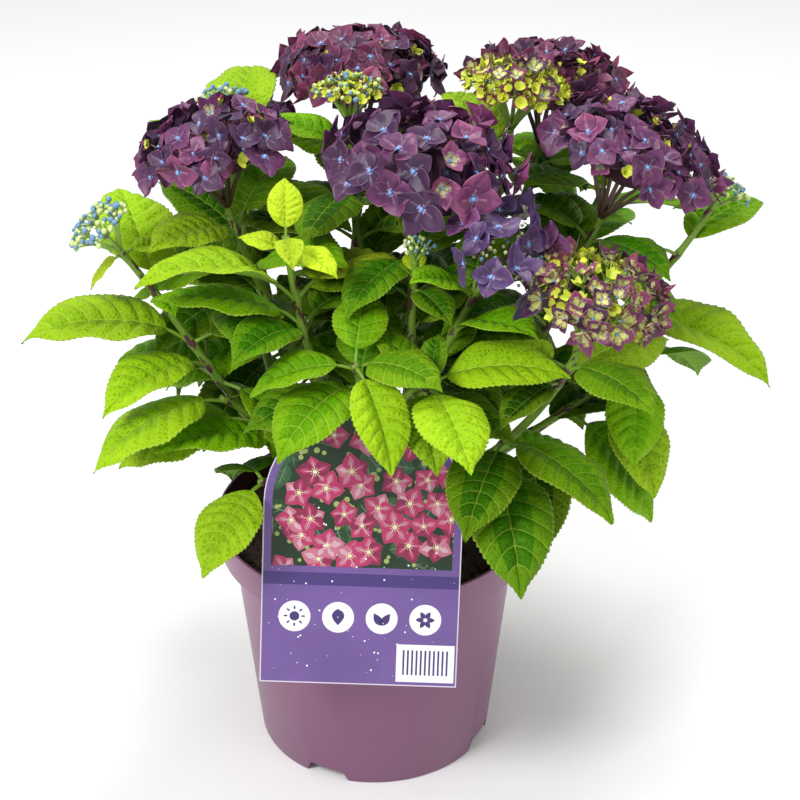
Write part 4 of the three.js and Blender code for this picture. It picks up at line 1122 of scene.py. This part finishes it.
def on_card(points, pot):
    """Places points of the flat card, front up, so that it leans on the front of the pot's lip."""
    x, y, z = (np.asarray(points, float) - [0, CARD_BELOW, 0]).T
    r, t = math.radians(CARD_ROLL), math.radians(90 - CARD_LEAN)
    x, y = x * math.cos(r) - y * math.sin(r), x * math.sin(r) + y * math.cos(r)
    return np.column_stack([x + CARD_SIDE, y * math.cos(t) - z * math.sin(t) + card_front(pot),
                            y * math.sin(t) + z * math.cos(t) + pot.height / MM])


def away(x, y, far, turn):
    """A place at a distance from another, along a heading."""
    return x + far * math.cos(turn), y + far * math.sin(turn)


def arch(width, low, high, steps=28):
    """An upright outline with a half-round top, from one height to another."""
    half = width / 2
    a = np.linspace(0, np.pi, steps)
    top = np.column_stack([half * np.cos(a), high - half + half * np.sin(a)])
    return np.concatenate([[[half, low]], top, [[-half, low]]])


def clipped(outline, half, low, centre):
    """An outline whose points outside the arched window are moved to the window's edge."""
    x, y = np.clip(outline[:, 0], -half, half), np.maximum(outline[:, 1], low)
    above = np.maximum(y - centre, 0)
    pull = np.minimum(1, half / np.maximum(np.hypot(x, above), half * 0.5))
    return np.column_stack([np.where(above > 0, x * pull, x), np.where(above > 0, centre + above * pull, y)])


def raised(shapes, level):
    """Printed shapes lifted to a level, with a tenth of a step between their own."""
    return [(outline, level + 0.1 * own, kind) for outline, own, kind in shapes]


def print_flower(x, y, size, turn, rng):
    """A printed blossom of five round petals, each with a paler flame and a fine line, and a ring of dots."""
    shapes = []
    for rank, p in enumerate(rng.permutation(5)):
        a = turn + p * 2 * np.pi / 5 + rng.normal(0, 0.06)
        tone = int(rng.choice([PETAL, PETAL_DEEP, PETAL_LIGHT], p=[0.5, 0.3, 0.2]))
        flame = {PETAL: PETAL_LIGHT, PETAL_DEEP: PETAL, PETAL_LIGHT: PETAL_PALE}[tone]
        reach = size * rng.uniform(0.9, 1.1)
        shapes.append((petal_outline(x, y, reach, a, 0.46), rank, tone))
        shapes.append((petal_outline(*away(x, y, 0.2 * reach, a), 0.62 * reach, a, 0.26), rank + 0.3, flame))
        shapes.append((petal_outline(x, y, 0.7 * reach, a, 0.035), rank + 0.6, PETAL_PALE))
    shapes.append((disc(x, y, 0.13 * size, 12), 6, EYE_PRINT))
    shapes += [(disc(*away(x, y, 0.21 * size, a), 0.035 * size, 6), 6.5, EYE_PRINT) for a in turn + around(10)]
    return shapes


def print_leaf(x, y, size, turn, kind):
    """A printed leaf with a paler midrib and three pairs of side veins."""
    veins = [petal_outline(x, y, 0.94 * size, turn, 0.018)]
    veins += [petal_outline(*away(x, y, p * size, turn), 0.24 * size, turn + side, 0.03)
              for p in (0.22, 0.42, 0.62) for side in (-0.7, 0.7)]
    return [(petal_outline(x, y, size, turn, 0.3), 0, kind)] + [(vein, 1, LEAF_LIGHT) for vein in veins]


def printed(card):
    """The flat shapes of the generic print: each is an outline, its level and its kind."""
    rng = np.random.default_rng(12)
    width, top = card.width / MM, card.height / MM
    half, low, centre = width / 2 - WINDOW_MARGIN, WINDOW_FOOT, top - width / 2
    shapes = [(arch(width - 1.6, 0.8, top - 0.8), 0, GROUND), (arch(2 * half, low, top - WINDOW_MARGIN), 1, FIELD),
              (box_outline(0, BAND_HEIGHT, width - 1.6, 9), 1, BAND)]
    window = []
    for k in range(60):  # printed leaves, all over the window
        x, y = rng.uniform(-half, half), rng.uniform(low, top - 8)
        leaf = print_leaf(x, y, rng.uniform(17, 27), rng.uniform(0, 2 * np.pi), (LEAF_PRINT, LEAF_DARK)[k % 2])
        window += raised(leaf, LEAF_LEVEL + 0.2 * k)
    for k in range(34):  # printed flowers, in slanting rows that thin out upwards
        row, place = divmod(k, 6)
        x = (place - 2.5) * 21 + (row % 2) * 10 + rng.normal(0, 2.5)
        y = low + 8 + row * 17 + 0.18 * x + rng.normal(0, 2.5)
        if row > 3 and k % 3 == 0:
            continue
        flower = print_flower(x, y, rng.uniform(9.5, 13.0), rng.uniform(0, 2 * np.pi), rng)
        window += raised(flower, FLOWER_LEVEL + 0.8 * k)
        for b in range(3):  # buds beside it
            a, far = rng.uniform(0, 2 * np.pi), rng.uniform(13, 17)
            window.append((disc(*away(x, y, far, a), rng.uniform(1.2, 2.2), 14), BUD_LEVEL + 0.3 * b, BUD_PRINT))
    for outline, level, kind in window:
        shown = clipped(outline, half, low, centre)
        if np.ptp(shown[:, 0]) > 0.4 and np.ptp(shown[:, 1]) > 0.4:
            shapes.append((shown, level, kind))
    y = SIGN_HEIGHT
    for k, x in enumerate((-45, -15, 15, 45)):  # white discs with plain signs
        shapes.append((disc(x, y, 11.0), 1, PAPER))
        if k == 0:  # sun
            shapes.append((disc(x, y, 3.4, 24), 2, INK))
            shapes += [(petal_outline(*away(x, y, 4.6, a), 3.2, a, 0.22), 2, INK) for a in around(8)]
        elif k == 1:  # drop
            shapes.append((petal_outline(x, y + 6.2, 12.0, -np.pi / 2, 0.36), 2, INK))
        elif k == 2:  # two leaves
            shapes += [(petal_outline(x, y - 5, 10.5, a, 0.26), 2, INK) for a in (1.0, 2.14)]
        else:  # six-petalled flower
            shapes += [(petal_outline(*away(x, y, 1, a), 5.8, a, 0.3), 2, INK) for a in around(6)]
    shapes.append((box_outline(46, 16.5, 40, 27), 1, PAPER))
    shapes += [(box_outline(31 + 3.0 * i, 17, 1.3, 18), 2, INK) for i in range(11)]
    for _ in range(90):  # specks of dust and dried drops
        x, y = rng.uniform(-64, 64), rng.uniform(4, 128)
        shapes.append((disc(x, y, rng.choice([0.25, 0.4, 0.7]), 6), SPECK_LEVEL, PAPER))
    return shapes


def make_card(card, pot):
    """The label: an arched card with a tongue over the lip, and its print as thin raised shapes."""
    sheaf = Sheaf()
    thick = card.thick / MM

    def lay(outline, low, high, kind):
        """Lays a flat shape on the card, from one height over its back to another."""
        points, faces = slab(outline, low, high)
        points = on_card(points, pot)
        sheaf.add(points, outward(points - points.mean(0), faces), kind)

    lay(arch(card.width / MM, 0, card.height / MM), 0, thick, EDGE)
    for outline, level, kind in printed(card):
        lay(outline, thick - 0.05, thick + 0.02 + PRINT_STEP * level, kind)
    front, inside = card_front(pot), -(pot.rim_radius - pot.wall) / MM + TONGUE["inset"]
    low, end, thin = pot.height / MM + TONGUE["lift"], pot.height / MM - TONGUE["drop"], TONGUE["thick"]
    outline = np.array([[inside - thin, low], [front - 0.3, low], [front + 0.9, low + 4], [inside, low + thin],
                        [inside, end], [inside - thin, end]])
    half = TONGUE["width"] / 2
    points, faces = bar(outline, CARD_SIDE - half, CARD_SIDE + half)
    sheaf.add(points, outward(points - points.mean(0), faces), EDGE)

    def ink(name, base, spread=0.12, patch=25):
        """A glossy printed finish."""
        return material(name, base, 0.35, spread, 2000, 0.03, 0.00005, patch, Coat_Weight=0.25, Coat_Roughness=0.15)

    finishes = [
        ink("card_ground", card.ground, 0.3, 22), ink("card_band", card.band),
        ink("card_field", shade(card.leaf, 0.3), 0.5, 90), ink("card_leaf", card.leaf, 0.4, 120),
        ink("card_leaf_dark", shade(card.leaf, 0.5), 0.4, 120),
        ink("card_leaf_light", blend(card.leaf, card.paper, 0.16), 0.3, 120),
        ink("card_petal", card.petal, 0.25, 160), ink("card_petal_deep", shade(card.petal, 0.55), 0.3, 160),
        ink("card_petal_light", blend(card.petal, WHITE, 0.12), 0.2, 160),
        ink("card_petal_pale", blend(card.petal, card.paper, 0.4), 0.1, 160),
        ink("card_eye", srgb(214, 214, 168)), ink("card_bud", srgb(150, 164, 92), 0.2, 200),
        ink("card_paper", card.paper, 0.03),
        ink("card_ink", shade(card.band, 0.9)), ink("card_edge", srgb(206, 198, 214), 0.05)]
    sheaf.piece("card_label", finishes, "label", ["plant_label"], smooth=False)


# ---- Stems and leaves ----


def make_stems(colours):
    """The woody foot, and every cane and shoot on it."""
    rng = np.random.default_rng(7)
    wood, stems = Sheaf(), Sheaf()
    wood.add(*stool_mesh())
    bark = material("bark", colours.bark, 0.9, 0.45, 420, 0.7, 0.0012, 90)
    wood.piece("woody_foot", [bark], "stem_wood", ["woody_stem"])
    shoots = grow_stems()
    for shoot in shoots:
        stems.add(*stem_mesh(shoot, rng))
    finishes = [material("green_stem", colours.stem, 0.5, 0.2, 1500, 0.15, 0.0003, 120),
                material("stem_fleck", colours.fleck, 0.55, 0.3, 1500, 0.2, 0.0003, 200),
                material("cane_bark", shade(colours.bark, 1.25), 0.85, 0.4, 500, 0.6, 0.001, 110)]
    stems.piece("stems", finishes, "cane_bark", ["cane_" + s["name"] for s in shoots])


LEAF_GLINT = (0.8, 1.0, 0.25, 1)  # tint of the leaves' gloss
LEAF_LIGHTS = (0.74, 0.94, 1.16)  # each tone has a darker, a plain and a lighter green
HAZE = {"young": 0.08, "bright": 0.08}  # how far the net of small veins goes towards the vein tint
FAINT_HAZE = 0.015  # and on the older tones


def leaf_finish(name, blade, colours, haze):
    """A blade's finish: the mottled green of material(), wandering from a greener green to a yellower one, with
    a fine net of small veins over it. The net is where points lie near the walls between the cells of a cell
    pattern."""
    made = material(name, blade, 0.48, 0.16, 1500, 0.08, 0.0003, 26, Specular_IOR_Level=0.22,
                    Specular_Tint=LEAF_GLINT)
    if haze > FAINT_HAZE:
        wander(made, blade, (0.58, 0.78, 1), (1.3, 1.12, 1))
    else:
        wander(made, blade, (0.45, 0.72, 1), (1.6, 1.26, 1))
    nodes = made.node_tree.nodes
    shader = nodes["Principled BSDF"]
    cells = new_node(made, "TexVoronoi", ("feature", "DISTANCE_TO_EDGE"), Scale=300, Randomness=0.85)
    join(made, nodes["Texture Coordinate"], "Object", cells, "Vector")
    net = new_node(made, "MapRange", ("interpolation_type", "SMOOTHSTEP"), From_Max=0.5)
    join(made, cells, "Distance", net, "Value")
    relief = new_node(made, "Bump", Strength=0.6, Distance=0.0009)
    join(made, net, "Result", relief, "Height")
    join(made, nodes["Bump"], "Normal", relief, "Normal")
    join(made, relief, "Normal", shader, "Normal")
    tint = colour_mix(made, A=(*blend(shade(blade, 1.15), colours.vein_tint, haze), 1))
    join(made, net, "Result", tint, "Factor")
    join(made, nodes["Mix"], "Result", tint, "B")
    join(made, tint, "Result", shader, "Base Color")
    return made


def leaf_finishes(name, base, colours, haze):
    """The blade, vein, underside and hem of a tone's three greens, in the order of a leaf's kinds."""
    finishes = []
    for i, light in enumerate(LEAF_LIGHTS):
        blade = shade(base, light)
        finishes += [
            leaf_finish(f"{name}_{i}", blade, colours, haze),
            material(f"{name}_vein_{i}", blend(blade, colours.vein_tint, colours.vein), 0.5, 0.08, 1500, 0.1, 0.0002,
                     60, Specular_IOR_Level=0.15, Specular_Tint=LEAF_GLINT),
            material(f"{name}_under_{i}", blend(blade, colours.under, 0.5), 0.6, 0.1, 1500, 0.2, 0.0003, 60,
                     Specular_IOR_Level=0.12, Specular_Tint=LEAF_GLINT),
            leaf_finish(f"{name}_hem_{i}", blend(shade(blade, 1.05), colours.young, 0.16), colours, haze)]
    return finishes


def make_leaves(colours):
    """All the leaves, one mesh for each tone, and their stalks."""
    shoots = grow_stems()
    leaves = grow_leaves(shoots)
    if not leaves:
        raise RuntimeError("no leaf of the rule was found in the packed foliage")
    faces, kinds = leaf_faces()
    stalks = Sheaf()
    first_of = {}
    for tone, green in TONES.items():
        chosen = [leaf for leaf in leaves if leaf["tone"] == tone]
        if not chosen:
            continue
        sheaf = Sheaf()
        for leaf in chosen:
            order = int(abs(leaf["heading"]) * 1e4) + int(leaf["length"] * 100)
            green_of = order % len(LEAF_LIGHTS)
            sheaf.add(leaf_mesh(leaf, np.random.default_rng(order)), faces, kinds + LEAF_KINDS * green_of)
            stalks.add(*petiole(leaf))
            first_of.setdefault(leaf["shoot"], tone)
        name = green + "_leaves"
        finishes = leaf_finishes(name, getattr(colours, green), colours, HAZE.get(green, FAINT_HAZE))
        sheaf.piece(name, finishes, "foliage",
                    ["foliage_" + s for s in sorted(first_of) if first_of[s] == tone])
    stalk = material("leaf_stalk", shade(colours.stem, 1.15), 0.5, 0.2, 1500, 0.15, 0.0003, 120)
    stalks.piece("leaf_stalks", [stalk], "foliage")


# ---- Flowers ----


def petal_finish(name, base):
    """A petal's finish: satin, wandering from bluer to redder, with a faint cool bloom towards grazing edges."""
    made = material(name, base, 0.44, 0.1, 1400, 0.25, 0.0003, 85, Specular_IOR_Level=0.4, Sheen_Weight=0.06,
                    Sheen_Roughness=0.45, Sheen_Tint=(0.8, 0.76, 1.0, 1))
    wander(made, base, (0.62, 0.78, 1.02), (1.42, 1.24, 1))
    return made


def stalk_finish(name, *parts, spread=0.15):
    """The finish of a floret's or a bud's ray or stalk, in a display colour."""
    return material(name, srgb(*parts), 0.5, spread, 1500, 0.1, 0.0002, 150)


def bead_finishes(colours):
    """The finishes of a floret's bead and of round buds, in the order of the beads' kinds."""
    return [material(name, base, rough, spread, 1500, 0.1, 0.0002, 300) for name, base, rough, spread in (
        ("eye", colours.eye, 0.4, 0.15), ("green_eye", shade(colours.young, 0.85), 0.45, 0.15),
        ("blue_bud", colours.blue_bud, 0.4, 0.15), ("green_bud", colours.green_bud, 0.4, 0.12))]


def make_flowers(colours):
    """The flower heads: the florets of each colour in one mesh, their beads and stalks, and the dark balls of painted
    shade inside the full heads."""
    shoots = {s["name"]: s for s in grow_stems()}
    beads, stalks, shade_cores = Sheaf(), Sheaf(), Sheaf()
    for order, tone in enumerate(("wine", "mauve", "violet", "young")):
        rng = np.random.default_rng(300 + order)
        florets = Sheaf()
        names = [name for name in HEADS if HEADS[name][0] == tone]
        for name in names:
            head_florets(shoots[name], florets, beads, stalks, rng)
            if tone in FULL_TONES:
                shade_cores.add(*core_mesh(shoots[name]))
        base = colours.wine if tone == "young" else getattr(colours, tone)
        tones = (shade(blend(base, colours.violet, 0.4), 0.55), base, shade(blend(base, colours.rose, 0.3), 1.35))
        cream = colours.cream if tone == "young" else blend(colours.cream, colours.throat, 0.35)
        hues = {str(i): hue for i, hue in enumerate(tones)}
        hues |= {f"streak_{i}": blend(shade(hue, 1.3), WHITE, 0.042) for i, hue in enumerate(tones)}
        # Inner hues: a bluer tint, and darkening that is painted shade near each floret's middle.
        hues |= {f"inner_{i}": blend(shade(hue, 0.7), colours.violet, 0.16) for i, hue in enumerate(tones)}
        hues |= {"throat": colours.throat, "cream": cream, "pale": blend(base, cream, 0.4), "new": colours.young,
                 "lime": blend(colours.young, colours.cream, 0.5), "blush": colours.blush}
        finishes = [petal_finish(f"{tone}_{name}", hue) for name, hue in hues.items()]
        slot = {"young": "flower_young", "violet": "flower_violet"}.get(tone, "flower_purple")
        solids = ["flower_head_" + name for name in names]
        florets.piece(f"{tone}_florets", finishes, slot, [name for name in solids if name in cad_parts])
    beads.piece("floret_beads", bead_finishes(colours), "flower_purple")
    finishes = [stalk_finish("ray_green", 128, 160, 62), stalk_finish("stalk_pale", 168, 190, 96),
                stalk_finish("stalk_flushed", 120, 74, 92, spread=0.2),
                stalk_finish("ray_dark", 82, 62, 48, spread=0.5)]
    stalks.piece("floret_stalks", finishes, "flower_purple")
    # A dark ball in each full head: painted shade.
    shade_cores.piece("head_shade", [material("head_shade", shade(colours.wine, 0.35), 0.9, 0.3, 600, 0.4, 0.0008, 120)],
                "flower_purple")


def make_buds(colours):
    """The heads that are still in bud: round buds of seeded sizes on short stalks over a low dome."""
    shoots = {s["name"]: s for s in grow_stems()}
    rng = np.random.default_rng(77)
    beads, stalks = Sheaf(), Sheaf()
    for name, (tone, count, size) in BUD_HEADS.items():
        shoot = shoots[name]
        place, _ = dome_places(shoot, count)
        place = place + rng.normal(0, 0.06, place.shape) * shoot["head"][1]
        for p in place:
            kind = {"blue": BLUE_BUD, "lime": GREEN_BUD}.get(tone, int(rng.integers(BLUE_BUD, GREEN_BUD + 1)))
            kind = kind if rng.random() < 0.66 else BLUE_BUD + GREEN_BUD - kind
            beads.add(*bead(p, size * rng.uniform(0.6, 1.15), 8, 5), kind)
        branches(shoot, place, stalks, rng, (RAY_GREEN, STALK_PALE))
    beads.piece("round_buds", bead_finishes(colours), "flower_young")
    finishes = [stalk_finish("bud_ray", 132, 166, 70), stalk_finish("bud_stalk", 150, 178, 96)]
    stalks.piece("bud_stalks", finishes, "flower_young")


# ---- Stage ----

LOOK_AT = (0.0192, 0.0, 0.2779)
# Each lamp: its place, its share of the main light's strength, and its width.
LAMPS = {"key": ((-1.15, -1.2, 1.7), 1.25, 0.7), "fill": ((1.5, -1.2, 1.1), 0.26, 1.2),
         "top": ((0.2, 0.5, 2.3), 1.1, 0.9)}
FLOOR_HALF = 6.0


def make_stage(sizes):
    """The pale floor, the soft lights and the camera."""
    floor, r = bpy.data.meshes.new("floor"), FLOOR_HALF
    floor.from_pydata([(-r, -r, 0), (r, -r, 0), (r, r, 0), (-r, r, 0)], [], [(0, 1, 2, 3)])
    ground = linked("floor", floor)
    floor.materials.append(material("floor", sizes.floor, 0.9, 0.01, 60, 0.02, 0.0005, 3))
    scene = bpy.context.scene
    scene.view_settings.view_transform = "Standard"
    scene.world = bpy.data.worlds.new("soft_sky")
    scene.world.use_nodes = True
    sky = scene.world.node_tree.nodes["Background"]
    sky.inputs["Color"].default_value = (1, 1, 1, 1)
    sky.inputs["Strength"].default_value = 0.54
    for name, (place, power, size) in LAMPS.items():
        lamp = bpy.data.lights.new(name, "AREA")
        lamp.energy = sizes.light * power
        lamp.size = size
        holder = linked(name, lamp)
        holder.location = place
        towards = np.array(LOOK_AT) - np.array(place)
        pitch = math.atan2(math.hypot(towards[0], towards[1]), -towards[2])
        holder.rotation_euler = (pitch, 0, math.atan2(-towards[0], towards[1]))
    lens = bpy.data.cameras.new("camera")
    lens.lens, lens.sensor_width = sizes.lens, 36
    lens.clip_start, lens.clip_end = 0.05, 50
    camera = linked("camera", lens)
    camera.location = (LOOK_AT[0], LOOK_AT[1] - sizes.distance * math.cos(sizes.elevation),
                       LOOK_AT[2] + sizes.distance * math.sin(sizes.elevation))
    camera.rotation_euler = (math.pi / 2 - sizes.elevation, 0, 0)
    scene.camera = camera


# ---- The add-on ----


class HYDRANGEA_OT_pot(bpy.types.Operator):
    """Make the pot with its collar, lip, foot notches and drain holes."""
    bl_idname = "hydrangea.make_pot"
    bl_label = "Make Pot"

    def execute(self, context):
        make_pot(context.scene.hydrangea_pot)
        return {"FINISHED"}


class HYDRANGEA_OT_soil(bpy.types.Operator):
    """Fill the pot with compost."""
    bl_idname = "hydrangea.make_soil"
    bl_label = "Make Compost"

    def execute(self, context):
        make_soil(context.scene.hydrangea_pot)
        return {"FINISHED"}


class HYDRANGEA_OT_card(bpy.types.Operator):
    """Hang the card label on the lip of the pot."""
    bl_idname = "hydrangea.make_card"
    bl_label = "Make Card Label"

    def execute(self, context):
        make_card(context.scene.hydrangea_card, context.scene.hydrangea_pot)
        return {"FINISHED"}


class HYDRANGEA_OT_stems(bpy.types.Operator):
    """Grow the woody foot, the canes and the shoots."""
    bl_idname = "hydrangea.make_stems"
    bl_label = "Grow Stems"

    def execute(self, context):
        make_stems(context.scene.hydrangea_leaves)
        return {"FINISHED"}


class HYDRANGEA_OT_leaves(bpy.types.Operator):
    """Grow the leaves and their stalks."""
    bl_idname = "hydrangea.make_leaves"
    bl_label = "Grow Leaves"

    def execute(self, context):
        make_leaves(context.scene.hydrangea_leaves)
        return {"FINISHED"}


class HYDRANGEA_OT_flowers(bpy.types.Operator):
    """Grow the flower heads."""
    bl_idname = "hydrangea.make_flowers"
    bl_label = "Grow Flowers"

    def execute(self, context):
        make_flowers(context.scene.hydrangea_flowers)
        return {"FINISHED"}


class HYDRANGEA_OT_buds(bpy.types.Operator):
    """Grow the heads that are still in bud."""
    bl_idname = "hydrangea.make_buds"
    bl_label = "Grow Buds"

    def execute(self, context):
        make_buds(context.scene.hydrangea_flowers)
        return {"FINISHED"}


class HYDRANGEA_OT_stage(bpy.types.Operator):
    """Lay the floor and set the lights and the camera."""
    bl_idname = "hydrangea.make_stage"
    bl_label = "Set Stage"

    def execute(self, context):
        make_stage(context.scene.hydrangea_stage)
        return {"FINISHED"}


OPERATORS = (HYDRANGEA_OT_stage, HYDRANGEA_OT_pot, HYDRANGEA_OT_soil, HYDRANGEA_OT_card, HYDRANGEA_OT_stems,
             HYDRANGEA_OT_leaves, HYDRANGEA_OT_flowers, HYDRANGEA_OT_buds)
GROUPS = {"hydrangea_pot": HYDRANGEA_PG_pot, "hydrangea_card": HYDRANGEA_PG_card,
          "hydrangea_leaves": HYDRANGEA_PG_leaves, "hydrangea_flowers": HYDRANGEA_PG_flowers,
          "hydrangea_stage": HYDRANGEA_PG_stage}


class HYDRANGEA_PT_panel(bpy.types.Panel):
    """Lists the makers of the hydrangea's pieces and their sizes and colours."""
    bl_idname = "HYDRANGEA_PT_panel"
    bl_label = "Potted Hydrangea"
    bl_space_type = "VIEW_3D"
    bl_region_type = "UI"
    bl_category = "Hydrangea"

    def draw(self, context):
        for operator in OPERATORS:
            self.layout.operator(operator.bl_idname)
        for name in GROUPS:
            box = self.layout.box()
            group = getattr(context.scene, name)
            for prop in group.bl_rna.properties:
                if prop.identifier not in ("rna_type", "name"):
                    box.prop(group, prop.identifier)


def register():
    """Registers the classes and hangs the groups on the scene."""
    for group in GROUPS.values():
        bpy.utils.register_class(group)
    for name, group in GROUPS.items():
        setattr(bpy.types.Scene, name, PointerProperty(type=group))
    for kind in (*OPERATORS, HYDRANGEA_PT_panel):
        bpy.utils.register_class(kind)


def unregister():
    """Takes back what register did."""
    for kind in (HYDRANGEA_PT_panel, *reversed(OPERATORS)):
        bpy.utils.unregister_class(kind)
    for name in GROUPS:
        delattr(bpy.types.Scene, name)
    for group in reversed(list(GROUPS.values())):
        bpy.utils.unregister_class(group)


def main():
    """Makes every piece in order."""
    register()
    for maker in ("make_stage", "make_pot", "make_soil", "make_card", "make_stems", "make_leaves", "make_flowers",
                  "make_buds"):
        getattr(bpy.ops.hydrangea, maker)()


if __name__ == "__main__":
    main()
